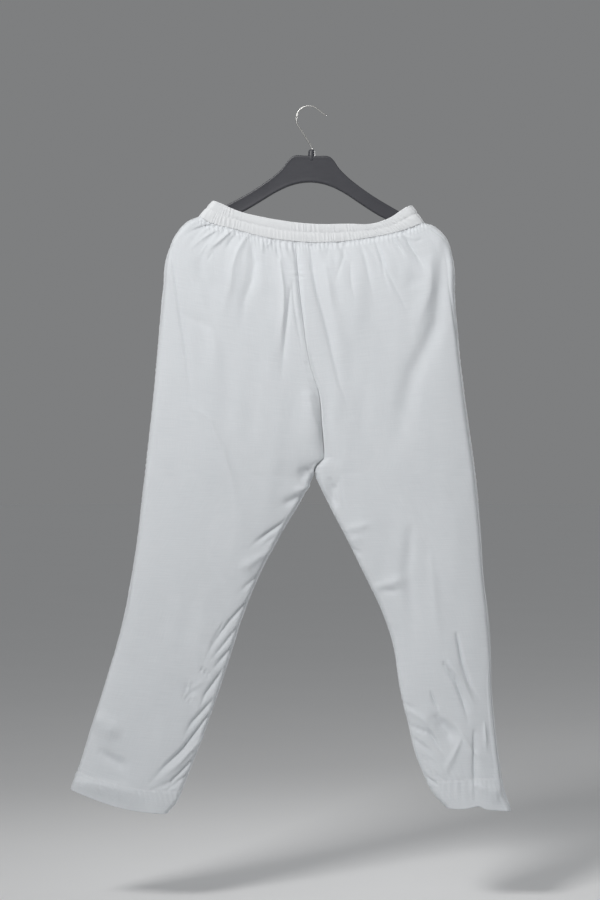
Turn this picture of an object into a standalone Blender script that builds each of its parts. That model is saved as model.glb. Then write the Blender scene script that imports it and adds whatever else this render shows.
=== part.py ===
"""Pull-on trousers with a gathered elastic waistband, hanging on a plastic clothes hanger.

Blender units are metres and +Z is up; the front of the trousers faces -Y. The sizes below are in
millimetres and are turned to metres as points are made. The origin is the inside top of the hanger's
hook, where a rail carries it. Left and right are as seen from the front.
"""

import math
from collections import namedtuple

import bmesh
import bpy
from mathutils import Matrix, Vector

MM = 0.001

# Cloth
WALL = 1.4
HEM_WALL = 2.4
HEM_DROP = 850.0
HEM_EDGE_DROP = 885.0
SEAM_GAP = 0.3
CROTCH_DROP = 378.0
SIDE_SEAM_FORWARD = 5.0

# How far the hem's edge hangs below the straight line between its corners
HEM_SAG = {"left": 8.0, "right": -1.5}
HEM_SAG_START_DROP = 600.0

# Slits at the foot of the side seams
SLIT_TOP_DROP = 665.0
SLIT_OPENING = {"left": 3.0, "right": 9.0}

# Pleats that hang from the gathered waist
PLEATS_PER_PANEL = 10
PLEAT_HEIGHT = 3.4
PLEAT_LENGTH = (110.0, 215.0)
PLEAT_UNEVENNESS = 0.3
PLEAT_SIDE_CALM = 0.75

# Waistband: an elastic casing with a row of stitching along its middle
BAND_GATHERS = 96
COLUMNS_PER_GATHER = 4
BAND_GATHER_HEIGHT = 0.9
BAND_GATHER_UNEVENNESS = 0.35
BAND_UPPER_GATHER_SHIFT = 1.1
BAND_LOW_HALF_DEPTH = 12.0
BAND_TOP_HALF_DEPTH = 11.0
BAND_LOW_FOLD_RADIUS = 9.0
BAND_TOP_FOLD_RADIUS = 8.5
BAND_TO_PANEL_GAP = 0.35
BAND_CORNER_GAP = 0.75

# Hanger and its hook
HANGER_CENTRE_X = 4.05
HANGER_THICKNESS = 10.0
HANGER_TILT_DEG = 1.25
HANGER_ARM_REACH = 210.8
HANGER_END_RADIUS = 11.0
HANGER_END_Z = -207.8
HANGER_END_STEPS = 6
HANGER_ARM_SLOPE_DEG = 30.0
HANGER_EDGE_ROUNDING = 2.0
COLLAR_RADIUS = 5.2
COLLAR_TOP_Z = -66.5
COLLAR_FOOT_Z = -84.0
HOOK_WIRE_RADIUS = 1.3
HOOK_SOCKET_RADIUS = 1.65
HOOK_RADIUS = 20.0
HOOK_END_ANGLE_DEG = 38.0
HOOK_END_LENGTH = 17.0
HOOK_LEAN_DEG = 29.0
HOOK_SOCKET_DEPTH = 9.0

# The body of the trousers down to the crotch. The drop is measured down the cloth from the waistband;
# x and z are the places of the centre seam and of the two outer edges as seen from the front.
# Overlap is how far each leg's outline still reaches across the centre, from 1 to 0 at the crotch.
Body = namedtuple("Body", "drop left_x left_z seam_x seam_z right_x right_z half_depth fold_radius overlap")
BODY = (
    Body(0, -170, -170, -22, -208, 178, -180, 12.0, 9.0, 1.00),
    Body(18, -191, -178, -20, -226, 194, -186, 14.5, 9.0, 1.00),
    Body(40, -212, -198, -18, -248, 212, -203, 18.0, 9.0, 0.97),
    Body(70, -222, -228, -15, -279, 223, -234, 22.0, 9.0, 0.92),
    Body(125, -226, -284, -9, -333, 226, -293, 25.0, 9.0, 0.80),
    Body(200, -234, -366, 0, -405, 233, -377, 27.0, 9.0, 0.60),
    Body(285, -243, -457, 9, -485, 243, -462, 27.0, 9.0, 0.33),
    Body(345, -251, -532, 13, -539, 253, -535, 26.0, 9.0, 0.12),
    Body(378, -254, -563, 8, -571, 257, -563, 25.0, 9.0, 0.00),
)

# Each leg from the crotch to its hem, with the outer and the inner edge as seen from the front.
Leg = namedtuple("Leg", "drop outer_x outer_z inner_x inner_z half_depth fold_radius")
LEGS = {
    "left": (
        Leg(425, -260, -614, -14, -614, 24.0, 8.5),
        Leg(470, -265, -659, -42, -660, 23.5, 8.5),
        Leg(540, -274, -725, -79, -732, 22.5, 8.0),
        Leg(595, -284, -780, -101, -786, 21.0, 8.0),
        Leg(650, -298, -834, -119, -843, 20.0, 7.5),
        Leg(710, -316, -896, -140, -907, 19.0, 7.5),
        Leg(770, -335, -956, -163, -972, 17.5, 7.0),
        Leg(830, -353, -1014, -188, -1037, 16.5, 7.0),
        Leg(865, -363, -1040, -205, -1077, 16.0, 7.0),
        Leg(885, -369, -1057, -220, -1095, 16.0, 7.0),
    ),
    "right": (
        Leg(425, 262, -615, 29, -614, 24.0, 8.5),
        Leg(470, 266, -659, 53, -660, 23.5, 8.5),
        Leg(540, 271, -728, 87, -728, 22.5, 8.0),
        Leg(595, 277, -783, 113, -783, 21.0, 8.0),
        Leg(650, 281, -835, 130, -835, 20.0, 7.5),
        Leg(710, 283, -897, 140, -897, 19.0, 7.5),
        Leg(770, 288, -956, 153, -956, 17.5, 7.0),
        Leg(830, 295, -1015, 170, -1018, 16.5, 7.0),
        Leg(865, 302, -1060, 194, -1066, 16.0, 7.0),
        Leg(885, 313, -1091, 215, -1087, 16.0, 7.0),
    ),
}

# The waistband's lower and top edges, from its left end to its right end.
BandEdge = namedtuple("BandEdge", "low_x low_z top_x top_z")
BAND_EDGES = (
    BandEdge(-170, -170, -149, -146),
    BandEdge(-157, -179, -140, -149),
    BandEdge(-115, -191, -107, -162),
    BandEdge(-71, -202, -67, -171),
    BandEdge(3, -209, 3, -180),
    BandEdge(67, -206, 61, -180),
    BandEdge(110, -198, 99, -180),
    BandEdge(140, -192, 125, -171),
    BandEdge(168, -184, 149, -157),
    BandEdge(178, -180, 158, -153),
)

# The waistband's outer side, from its lower edge to its top fold: share of the height, how far it
# stands out from the cloth below it, and how much of a gather's height it has.
BandRow = namedtuple("BandRow", "height stand_out gather")
BAND_OUTSIDE = (
    BandRow(0.00, 0.9, 0.8),
    BandRow(0.24, 2.2, 1.0),
    BandRow(0.52, 0.9, 0.4),
    BandRow(0.78, 2.1, 1.0),
    BandRow(1.00, 0.4, 0.6),
)
BAND_INSIDE = (
    BandRow(0.94, -2.2, 0.0),
    BandRow(0.00, -2.4, 0.0),
)

# One arm of the hanger: the heights of its top edge and its underside, from the middle outwards.
HangerSection = namedtuple("HangerSection", "out top_z under_z")
HANGER_SECTIONS = (
    HangerSection(0, -76, -117.5),
    HangerSection(12, -76, -118.5),
    HangerSection(25, -76, -121.3),
    HangerSection(30, -78, -123),
    HangerSection(35, -83, -124.8),
    HangerSection(43, -94, -128.5),
    HangerSection(56, -107, -135.5),
    HangerSection(74, -121, -147),
    HangerSection(98, -137, -162),
    HangerSection(126, -153, -177),
    HangerSection(155, -168.5, -193),
    HangerSection(180, -182.5, -207),
)

# The largest folds: troughs (negative depth) and ridges along a line seen from the front.
Fold = namedtuple("Fold", "face top_x top_z foot_x foot_z width depth")
FOLDS = (
    Fold("front", 208, -222, 133, -535, 17, -3.0),
    Fold("front", 196, -300, 160, -480, 22, 1.6),
    Fold("front", -214, -232, -180, -476, 12, -2.0),
    Fold("front", -107, -265, -127, -476, 22, -2.2),
    Fold("front", -148, -285, -140, -420, 22, 1.8),
    Fold("front", 2, -235, 58, -470, 12, -2.6),
    Fold("front", -42, -290, -48, -430, 14, 1.8),
    Fold("front", -40, -655, -92, -700, 12, -2.4),
    Fold("front", -92, -775, -130, -850, 12, -2.2),
    Fold("front", -150, -945, -225, -1030, 13, -2.6),
    Fold("front", 210, -860, 246, -960, 13, -2.6),
    Fold("front", 172, -985, 205, -1030, 13, -2.4),
    Fold("front", 62, -690, 120, -720, 14, -2.0),
    Fold("back", 205, -230, 120, -520, 18, -2.6),
    Fold("back", -205, -230, -110, -530, 18, -2.8),
    Fold("back", 70, -250, 60, -440, 18, 2.0),
    Fold("back", -80, -255, -66, -450, 18, 2.0),
    Fold("back", -55, -650, -130, -720, 14, -2.6),
    Fold("back", 70, -660, 140, -740, 14, -2.6),
    Fold("back", -150, -860, -230, -960, 14, -2.4),
    Fold("back", 160, -870, 240, -970, 14, -2.2),
)

# Rows of cloth by drop. Pleated rows need the most columns across a panel, and the legs the fewest.
PLEATED_DROPS = (0, 9, 21, 37, 57, 80)
FADING_DROPS = (108, 140, 180)
LEG_DROPS = (
    225, 268, 305, 332, 350, 363, 372, 378, 384, 396, 418,
    455, 505, 560, 615, 665, 705, 745, 785, 820, 850, 852, 868, 885,
)
PLEATED_COLUMNS = 4 * PLEATS_PER_PANEL
FADING_COLUMNS = 2 * PLEATS_PER_PANEL
LEG_COLUMNS = PLEATS_PER_PANEL

OUTLINE_STEPS = 360
PROBE_ANGLE = 0.004
PROBE_DROP = 0.5
BEND_LENGTH = 14.0
COLUMN_DRIFT = 0.010
LEVEL_DROP = 25.0
WAIST_SAG_DROP = 130.0
SEAM_MARGIN = 0.15


def mix(a, b, share):
    return a + (b - a) * share


def ease(low, high, value):
    """0 below low, 1 above high, and a smooth rise between them."""
    share = min(1.0, max(0.0, (value - low) / (high - low)))
    return share * share * (3 - 2 * share)


def smooth_through(knots, values):
    """A function that passes smoothly through the values at the knots."""
    spans = [b - a for a, b in zip(knots, knots[1:])]
    rises = [(b - a) / span for a, b, span in zip(values, values[1:], spans)]
    slopes = [rises[0]]
    for i in range(1, len(rises)):
        near, far = spans[i - 1], spans[i]
        slopes.append((rises[i - 1] * far + rises[i] * near) / (near + far))
    slopes.append(rises[-1])

    def value_at(knot):
        i = 0
        while i < len(spans) - 1 and knot > knots[i + 1]:
            i += 1
        t = (knot - knots[i]) / spans[i]
        if not 0 <= t <= 1:
            end = i if t < 0 else i + 1
            return values[end] + slopes[end] * (knot - knots[end])
        start = (1 + 2 * t) * (1 - t) ** 2 * values[i] + t * (1 - t) ** 2 * spans[i] * slopes[i]
        finish = t * t * (3 - 2 * t) * values[i + 1] + t * t * (t - 1) * spans[i] * slopes[i + 1]
        return start + finish

    return value_at


def column(rows, name):
    return [getattr(row, name) for row in rows]


BAND_SHARES = [
    (edge.low_x - BAND_EDGES[0].low_x) / (BAND_EDGES[-1].low_x - BAND_EDGES[0].low_x) for edge in BAND_EDGES
]
band_low_z = smooth_through(BAND_SHARES, column(BAND_EDGES, "low_z"))
band_top_x = smooth_through(BAND_SHARES, column(BAND_EDGES, "top_x"))
band_top_z = smooth_through(BAND_SHARES, column(BAND_EDGES, "top_z"))
overlap_at = smooth_through(column(BODY, "drop"), column(BODY, "overlap"))
seam_x = smooth_through(column(BODY, "drop"), column(BODY, "seam_x"))
seam_z = smooth_through(column(BODY, "drop"), column(BODY, "seam_z"))


class Half:
    """One half of the trousers: the smooth outline of its body and leg, before pleats and folds."""

    def __init__(self, name):
        self.name = name
        self.sign = -1 if name == "left" else 1
        legs = LEGS[name]
        drops = column(BODY, "drop") + column(legs, "drop")
        leg_drops = drops[len(BODY) - 1:]
        inner_leg_x = [BODY[-1].seam_x + self.sign * SEAM_GAP / 2] + column(legs, "inner_x")
        self.inner_leg_x = smooth_through(leg_drops, inner_leg_x)
        self.inner_leg_z = smooth_through(leg_drops, [BODY[-1].seam_z] + column(legs, "inner_z"))
        self.outer_x = smooth_through(drops, column(BODY, f"{name}_x") + column(legs, "outer_x"))
        self.outer_z = smooth_through(drops, column(BODY, f"{name}_z") + column(legs, "outer_z"))
        self.half_depth = smooth_through(drops, column(BODY, "half_depth") + column(legs, "half_depth"))
        self.fold_radius = smooth_through(drops, column(BODY, "fold_radius") + column(legs, "fold_radius"))
        self.other = None

    def inner_x(self, drop):
        """The centre seam down to the crotch, which both halves share, and the inner leg below it."""
        return seam_x(drop) + self.sign * SEAM_GAP / 2 if drop < CROTCH_DROP else self.inner_leg_x(drop)

    def inner_z(self, drop):
        return seam_z(drop) if drop < CROTCH_DROP else self.inner_leg_z(drop)

    def width(self, drop):
        return abs(self.outer_x(drop) - self.inner_x(drop))

    def cut(self, drop):
        """The share of the closed outline that lies beyond the centre seam, 0 from the crotch down."""
        if drop >= CROTCH_DROP:
            return 0.0
        reach = max(0.0, overlap_at(drop)) * self.other.width(drop)
        return reach / (reach + self.width(drop))

    def share_out(self, drop, angle):
        """How far out a point lies, from 0 at the centre seam or inner leg to 1 at the outer edge."""
        cut = self.cut(drop)
        return ((1 - math.cos(angle)) / 2 - cut) / (1 - cut)

    def plain_depth(self, drop, across):
        """Half the depth of the closed outline at a share of its width."""
        radius = self.fold_radius(drop)
        full_width = self.width(drop) / (1 - self.cut(drop))
        from_end = full_width * min(across, 1 - across)
        turned = math.sqrt(max(0.0, radius**2 - max(0.0, radius - from_end) ** 2))
        return turned + (self.half_depth(drop) - radius) * 2 * math.sqrt(max(0.0, across * (1 - across)))

    def point(self, drop, angle):
        """A point of the outline. The angle runs from the inner end round the front to the outer end
        at pi, and on round the back."""
        across = (1 - math.cos(angle)) / 2
        cut = self.cut(drop)
        share = self.share_out(drop, angle)
        x = mix(self.inner_x(drop), self.outer_x(drop), share)
        z = mix(self.inner_z(drop), self.outer_z(drop), share)
        z += self.waist_sag(share) * (1 - ease(0, WAIST_SAG_DROP, drop))
        z -= HEM_SAG[self.name] * math.sin(math.pi * share) * ease(HEM_SAG_START_DROP, HEM_EDGE_DROP, drop)
        depth = self.plain_depth(drop, across)
        if cut > 0:
            here = self.plain_depth(drop, cut)
            there = self.other.plain_depth(drop, self.other.cut(drop))
            depth *= 1 + ((here + there) / 2 / here - 1) * (1 - share) ** 2
        depth = max(depth, SEAM_GAP / 2)
        return Vector((x, -depth if math.sin(angle) >= 0 else depth, z))

    def waist_sag(self, share):
        """How far the waistband's lower edge lies below the straight line between its ends."""
        x = mix(self.inner_x(0), self.outer_x(0), share)
        first, last = BAND_EDGES[0].low_x, BAND_EDGES[-1].low_x
        line = mix(self.inner_z(0), self.outer_z(0), share)
        return band_low_z((x - first) / (last - first)) - line

    def normal(self, drop, angle):
        """The outward direction. At the waistband it is level, so that pleats keep their height, and
        at the centre seam it keeps to the seam's own plane, so that the two halves stay apart."""
        round_step = self.point(drop, angle + PROBE_ANGLE) - self.point(drop, angle - PROBE_ANGLE)
        down_step = self.point(drop + PROBE_DROP, angle) - self.point(drop - PROBE_DROP, angle)
        true = round_step.cross(down_step).normalized() * -self.sign
        level = Vector((-round_step.y, round_step.x, 0)).normalized() * -self.sign
        out = level.lerp(true, ease(0, LEVEL_DROP, drop)).normalized()
        if drop < CROTCH_DROP:
            out.x *= ease(0, SEAM_MARGIN, self.share_out(drop, angle))
        return out.normalized()

    def columns(self, drop, count):
        """Angles of a row's columns, for the front and for the back panel. They are spread by length
        and by bend, so that the turned edges get their share."""
        start = math.acos(1 - 2 * self.cut(drop))
        angles = [mix(start, 2 * math.pi - start, i / OUTLINE_STEPS) for i in range(OUTLINE_STEPS + 1)]
        points = [self.point(drop, angle) for angle in angles]
        lengths, spread = [0.0], [0.0]
        last_step = None
        for a, b in zip(points, points[1:]):
            step = b - a
            bend = step.angle(last_step, 0.0) if last_step and step.length > 0 else 0.0
            lengths.append(lengths[-1] + step.length)
            spread.append(spread[-1] + step.length + BEND_LENGTH * min(bend, 0.5))
            last_step = step
        side_seam = lengths[OUTLINE_STEPS // 2] - SIDE_SEAM_FORWARD
        opening = SEAM_GAP / 2 + SLIT_OPENING[self.name] / 2 * ease(SLIT_TOP_DROP, HEM_EDGE_DROP, drop)
        front_end = look_up(lengths, spread, side_seam - opening)
        back_start = look_up(lengths, spread, side_seam + opening)
        front = [look_up(spread, angles, front_end * uneven(j / count)) for j in range(count + 1)]
        back = [
            look_up(spread, angles, mix(spread[-1], back_start, uneven(j / count))) for j in range(count + 1)
        ]
        return {"front": front, "back": back}


def look_up(keys, values, key):
    """The value at a key between two rising lists, straight between their entries."""
    low, high = 0, len(keys) - 1
    while high - low > 1:
        middle = (low + high) // 2
        if keys[middle] <= key:
            low = middle
        else:
            high = middle
    span = keys[high] - keys[low]
    return mix(values[low], values[high], (key - keys[low]) / span if span > 0 else 0.0)


def uneven(share):
    """Moves a column a little sideways, so that pleats differ in width. The ends stay."""
    drift = COLUMN_DRIFT * math.sin(6 * math.pi * share)
    return share + drift + 0.6 * COLUMN_DRIFT * math.sin(14 * math.pi * share)


def pleat(share, drop):
    """How far a pleat stands out; share runs across a panel from the centre to the side seam."""
    wave = 0.5 - 0.5 * math.cos(2 * math.pi * PLEATS_PER_PANEL * share)
    strength = 1 - PLEAT_UNEVENNESS * (0.5 + math.sin(11 * share + 0.8) * math.sin(23 * share))
    quiet_side = 1 - PLEAT_SIDE_CALM * ease(0.75, 1.0, share)
    fade = 1 - ease(15, mix(*PLEAT_LENGTH, 0.5 + 0.5 * math.sin(17 * share + 1.3)), drop)
    return PLEAT_HEIGHT * wave * strength * quiet_side * fade


def fold_depth(face, x, z):
    """The sum of the large folds at a place on the front or the back."""
    total = 0.0
    for fold in FOLDS:
        if fold.face != face:
            continue
        along = Vector((fold.foot_x - fold.top_x, fold.foot_z - fold.top_z))
        offset = Vector((x - fold.top_x, z - fold.top_z))
        share = offset.dot(along) / along.length_squared
        away = abs(offset.x * along.y - offset.y * along.x) / along.length
        ends = ease(-0.1, 0.25, share) * (1 - ease(0.75, 1.1, share))
        total += fold.depth * ends * math.exp(-((away / fold.width) ** 2))
    return total


def seam_calm(share):
    """1 on a panel and 0 at its seams, so that neighbouring panels meet edge to edge."""
    return ease(0, 0.10, share) * (1 - ease(0.90, 1.0, share))


def panel_row(half, face, drop, count):
    """The outer and the inner points of one row of a panel."""
    outer, inner = [], []
    wall = mix(WALL, HEM_WALL, ease(HEM_DROP, HEM_DROP + 2, drop))
    for j, angle in enumerate(half.columns(drop, count)[face]):
        share = j / count
        base = half.point(drop, angle)
        out = half.normal(drop, angle)
        stand_out = pleat(share, drop) + seam_calm(share) * fold_depth(face, base.x, base.z)
        if drop == 0:
            base.z -= mix(BAND_TO_PANEL_GAP, BAND_CORNER_GAP, ease(0.85, 1, half.share_out(drop, angle)))
        outer.append((base + out * stand_out) * MM)
        inner.append((base + out * (stand_out - wall)) * MM)
    return outer, inner


def join_rows(faces, first, second):
    """Triangles between two rows of points that may differ in number."""
    i = j = 0
    while i < len(first) - 1 or j < len(second) - 1:
        next_first = (i + 1) / (len(first) - 1)
        next_second = (j + 1) / (len(second) - 1)
        if j == len(second) - 1 or (i < len(first) - 1 and next_first <= next_second):
            faces.append((first[i], first[i + 1], second[j]))
            i += 1
        else:
            faces.append((first[i], second[j + 1], second[j]))
            j += 1


def add_object(name, points, faces, material):
    """One closed solid, with its faces turned outwards and shaded smooth."""
    mesh = bpy.data.meshes.new(name)
    mesh.from_pydata(points, [], faces)
    shaped = bmesh.new()
    shaped.from_mesh(mesh)
    bmesh.ops.recalc_face_normals(shaped, faces=shaped.faces)
    shaped.to_mesh(mesh)
    shaped.free()
    mesh.shade_smooth()
    mesh.set_sharp_from_angle(angle=math.radians(50))
    mesh.materials.append(material)
    made = bpy.data.objects.new(name, mesh)
    bpy.context.scene.collection.objects.link(made)
    return made


def make_panel(half, face, material):
    """A front or back panel: one wall of cloth from the waistband to the hem."""
    plan = [(drop, PLEATED_COLUMNS) for drop in PLEATED_DROPS]
    plan += [(drop, FADING_COLUMNS) for drop in FADING_DROPS]
    plan += [(drop, LEG_COLUMNS) for drop in LEG_DROPS]
    points, faces, outside, inside = [], [], [], []
    for drop, count in plan:
        outer, inner = panel_row(half, face, drop, count)
        outside.append(list(range(len(points), len(points) + len(outer))))
        points += outer
        inside.append(list(range(len(points), len(points) + len(inner))))
        points += inner
    for skin in (outside, inside):
        for first, second in zip(skin, skin[1:]):
            join_rows(faces, first, second)
    join_rows(faces, outside[0], inside[0])
    join_rows(faces, outside[-1], inside[-1])
    for edge in (0, -1):
        join_rows(faces, [row[edge] for row in outside], [row[edge] for row in inside])
    return add_object(f"{face}_{half.name}", points, faces, material)


def band_point(angle, height):
    """A point of the waistband's smooth ring. The angle runs from its left end round the front."""
    share = (1 - math.cos(angle)) / 2
    low_x = mix(BAND_EDGES[0].low_x, BAND_EDGES[-1].low_x, share)
    x = mix(low_x, band_top_x(share), height)
    z = mix(band_low_z(share), band_top_z(share), height)
    radius = mix(BAND_LOW_FOLD_RADIUS, BAND_TOP_FOLD_RADIUS, height)
    half_depth = mix(BAND_LOW_HALF_DEPTH, BAND_TOP_HALF_DEPTH, height)
    width = mix(BAND_EDGES[-1].low_x - BAND_EDGES[0].low_x, BAND_EDGES[-1].top_x - BAND_EDGES[0].top_x, height)
    from_end = width * min(share, 1 - share)
    turned = math.sqrt(max(0.0, radius**2 - max(0.0, radius - from_end) ** 2))
    depth = turned + (half_depth - radius) * abs(math.sin(angle))
    return Vector((x, -depth if math.sin(angle) >= 0 else depth, z))


def band_normal(angle, height):
    round_step = band_point(angle + PROBE_ANGLE, height) - band_point(angle - PROBE_ANGLE, height)
    rise = band_point(angle, height + 0.02) - band_point(angle, height - 0.02)
    true = round_step.cross(rise).normalized()
    level = Vector((round_step.y, -round_step.x, 0)).normalized()
    return level.lerp(true, ease(0, 0.2, height)).normalized()


def band_angles(count):
    """Angles that share the ring's length equally among the columns."""
    angles = [2 * math.pi * i / OUTLINE_STEPS for i in range(OUTLINE_STEPS + 1)]
    points = [band_point(angle, 0) for angle in angles]
    lengths = [0.0]
    for a, b in zip(points, points[1:]):
        lengths.append(lengths[-1] + (b - a).length)
    return [look_up(lengths, angles, lengths[-1] * j / count) for j in range(count)]


def band_gather(index, row):
    """The gathers' ripple. Each is a little stronger or weaker than its neighbour."""
    shift = BAND_UPPER_GATHER_SHIFT if row.height > 0.5 else 0.0
    phase = 2 * math.pi * index / COLUMNS_PER_GATHER + shift
    wander = math.sin(index * 0.37) * math.sin(index * 0.11 + row.height * 3)
    strength = 0.8 + BAND_GATHER_UNEVENNESS * wander
    return BAND_GATHER_HEIGHT * row.gather * strength * math.sin(phase)


def make_waistband(material):
    """The casing: a rippled outer side and a plain inner side, closed along the top fold and below."""
    points, faces, rings = [], [], []
    fine = BAND_GATHERS * COLUMNS_PER_GATHER
    for row, count in [(r, fine) for r in BAND_OUTSIDE] + [(r, BAND_GATHERS) for r in BAND_INSIDE]:
        ring = list(range(len(points), len(points) + count))
        for index, angle in enumerate(band_angles(count)):
            stand_out = row.stand_out + (band_gather(index, row) if count == fine else 0.0)
            points.append((band_point(angle, row.height) + band_normal(angle, row.height) * stand_out) * MM)
        rings.append(ring + ring[:1])
    for first, second in zip(rings, rings[1:] + rings[:1]):
        join_rows(faces, first, second)
    return add_object("waistband", points, faces, material)


def hanger_outline():
    """The hanger's outline as seen from the front, as a closed run of points. One arm is drawn outwards
    along its top edge, round its end and back along its underside, and the other arm mirrors it."""
    top = [(section.out, section.top_z) for section in HANGER_SECTIONS]
    underside = [(section.out, section.under_z) for section in reversed(HANGER_SECTIONS)]
    end = []
    for step in range(HANGER_END_STEPS + 1):
        angle = math.radians(90 - HANGER_ARM_SLOPE_DEG - 180 * step / HANGER_END_STEPS)
        out = HANGER_ARM_REACH - HANGER_END_RADIUS + HANGER_END_RADIUS * math.cos(angle)
        end.append((out, HANGER_END_Z + HANGER_END_RADIUS * math.sin(angle)))
    arm = top + end + underside
    other_arm = [(-out, z) for out, z in reversed(arm[1:-1])]
    return arm + other_arm


def make_hanger(material):
    """The moulded hanger: a flat arched bar with a collar on top and a socket for the hook."""
    shaped = bmesh.new()
    half_thickness = HANGER_THICKNESS / 2
    front = [shaped.verts.new((x * MM, -half_thickness * MM, z * MM)) for x, z in hanger_outline()]
    face = shaped.faces.new(front)
    pushed = bmesh.ops.extrude_face_region(shaped, geom=[face])["geom"]
    moved = [part for part in pushed if isinstance(part, bmesh.types.BMVert)]
    bmesh.ops.translate(shaped, verts=moved, vec=(0, HANGER_THICKNESS * MM, 0))
    bmesh.ops.recalc_face_normals(shaped, faces=shaped.faces)
    rims = [edge for edge in shaped.edges if abs(edge.verts[0].co.y - edge.verts[1].co.y) < 1e-6]
    bmesh.ops.bevel(
        shaped, geom=rims, offset=HANGER_EDGE_ROUNDING * MM, segments=2, profile=0.5, affect="EDGES"
    )
    mesh = bpy.data.meshes.new("hanger")
    shaped.to_mesh(mesh)
    shaped.free()
    hanger = bpy.data.objects.new("hanger", mesh)
    bpy.context.scene.collection.objects.link(hanger)
    mesh.materials.append(material)
    add_boolean(hanger, turned_pin("collar", COLLAR_RADIUS, COLLAR_FOOT_Z, COLLAR_TOP_Z, 20, domed=True), "UNION")
    socket_foot = COLLAR_TOP_Z - HOOK_SOCKET_DEPTH
    socket = turned_pin("socket", HOOK_SOCKET_RADIUS, socket_foot, COLLAR_TOP_Z + COLLAR_RADIUS, 12)
    add_boolean(hanger, socket, "DIFFERENCE")
    place_hanger(hanger)
    mesh.shade_smooth()
    mesh.set_sharp_from_angle(angle=math.radians(40))
    return hanger


def turned_pin(name, radius, foot, top, sides, domed=False):
    """An upright round pin, used to join a collar to the hanger or to cut the hook's socket."""
    profile = [(0, foot), (radius, foot), (radius, top)]
    if domed:
        profile[2:] = [
            (radius * math.cos(a), top - radius * 0.7 * (1 - math.sin(a)))
            for a in (math.radians(step) for step in (0, 30, 55, 75))
        ]
    profile.append((0, top))
    shaped = bmesh.new()
    line = [shaped.verts.new((x * MM, 0, z * MM)) for x, z in profile]
    edges = [shaped.edges.new(pair) for pair in zip(line, line[1:])]
    bmesh.ops.spin(
        shaped, geom=line + edges, cent=(0, 0, 0), axis=(0, 0, 1), angle=2 * math.pi, steps=sides
    )
    bmesh.ops.remove_doubles(shaped, verts=shaped.verts, dist=1e-6)
    bmesh.ops.recalc_face_normals(shaped, faces=shaped.faces)
    mesh = bpy.data.meshes.new(name)
    shaped.to_mesh(mesh)
    shaped.free()
    pin = bpy.data.objects.new(name, mesh)
    bpy.context.scene.collection.objects.link(pin)
    pin.hide_render = True
    pin.display_type = "WIRE"
    return pin


def add_boolean(target, tool, operation):
    modifier = target.modifiers.new(tool.name, "BOOLEAN")
    modifier.object = tool
    modifier.operation = operation
    modifier.solver = "EXACT"
    place_hanger(tool)


def place_hanger(piece):
    """Sets a piece on the hanger's middle and leans it with the hanger, about the collar's top."""
    pivot = Vector((0, 0, COLLAR_TOP_Z * MM))
    lean = Matrix.Rotation(math.radians(HANGER_TILT_DEG), 4, "Y")
    shift = Matrix.Translation(Vector((HANGER_CENTRE_X * MM, 0, 0)))
    piece.matrix_world = shift @ Matrix.Translation(pivot) @ lean @ Matrix.Translation(-pivot)


def hook_path():
    """The hook wire's middle line: a straight end, an arc over the top, a leaning shank, and a bend
    down into the collar."""
    centre_z = HOOK_WIRE_RADIUS - HOOK_RADIUS
    end_angle = math.radians(HOOK_END_ANGLE_DEG)
    lean = math.radians(HOOK_LEAN_DEG)
    first = Vector((HOOK_RADIUS * math.sin(end_angle), 0, centre_z + HOOK_RADIUS * math.cos(end_angle)))
    tip = first + Vector((math.cos(end_angle), 0, -math.sin(end_angle))) * HOOK_END_LENGTH
    path = [mix(tip, first, i / 4) for i in range(4)]
    arc_steps = 18
    sweep = end_angle + math.pi / 2 + lean
    for i in range(arc_steps + 1):
        angle = end_angle - sweep * i / arc_steps
        path.append(Vector((HOOK_RADIUS * math.sin(angle), 0, centre_z + HOOK_RADIUS * math.cos(angle))))
    corner = Vector((HANGER_CENTRE_X, 0, COLLAR_TOP_Z + 3.5))
    bend_start = corner + Vector((-math.sin(lean), 0, math.cos(lean))) * 6
    bend_end = Vector((HANGER_CENTRE_X, 0, COLLAR_TOP_Z + 0.5))
    shank_steps = 5
    bend_steps = 4
    leaving = path[-1]
    path += [mix(leaving, bend_start, i / shank_steps) for i in range(1, shank_steps + 1)]
    for i in range(1, bend_steps + 1):
        t = i / bend_steps
        path.append(mix(mix(bend_start, corner, t), mix(corner, bend_end, t), t))
    path.append(Vector((HANGER_CENTRE_X, 0, COLLAR_TOP_Z - HOOK_SOCKET_DEPTH + SEAM_GAP)))
    return path


def make_hook(material):
    curve = bpy.data.curves.new("hook", "CURVE")
    curve.dimensions = "3D"
    curve.bevel_depth = HOOK_WIRE_RADIUS * MM
    curve.bevel_resolution = 2
    curve.use_fill_caps = True
    path = hook_path()
    spline = curve.splines.new("POLY")
    spline.points.add(len(path) - 1)
    for point, place in zip(spline.points, path):
        point.co = (*(place * MM), 1)
    curve.materials.append(material)
    hook = bpy.data.objects.new("hook", curve)
    bpy.context.scene.collection.objects.link(hook)
    return hook


def make_material(name, colour, roughness, metallic=0.0):
    material = bpy.data.materials.new(name)
    material.use_nodes = True
    shader = material.node_tree.nodes["Principled BSDF"]
    shader.inputs["Base Color"].default_value = (*colour, 1)
    shader.inputs["Roughness"].default_value = roughness
    shader.inputs["Metallic"].default_value = metallic
    return material


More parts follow.
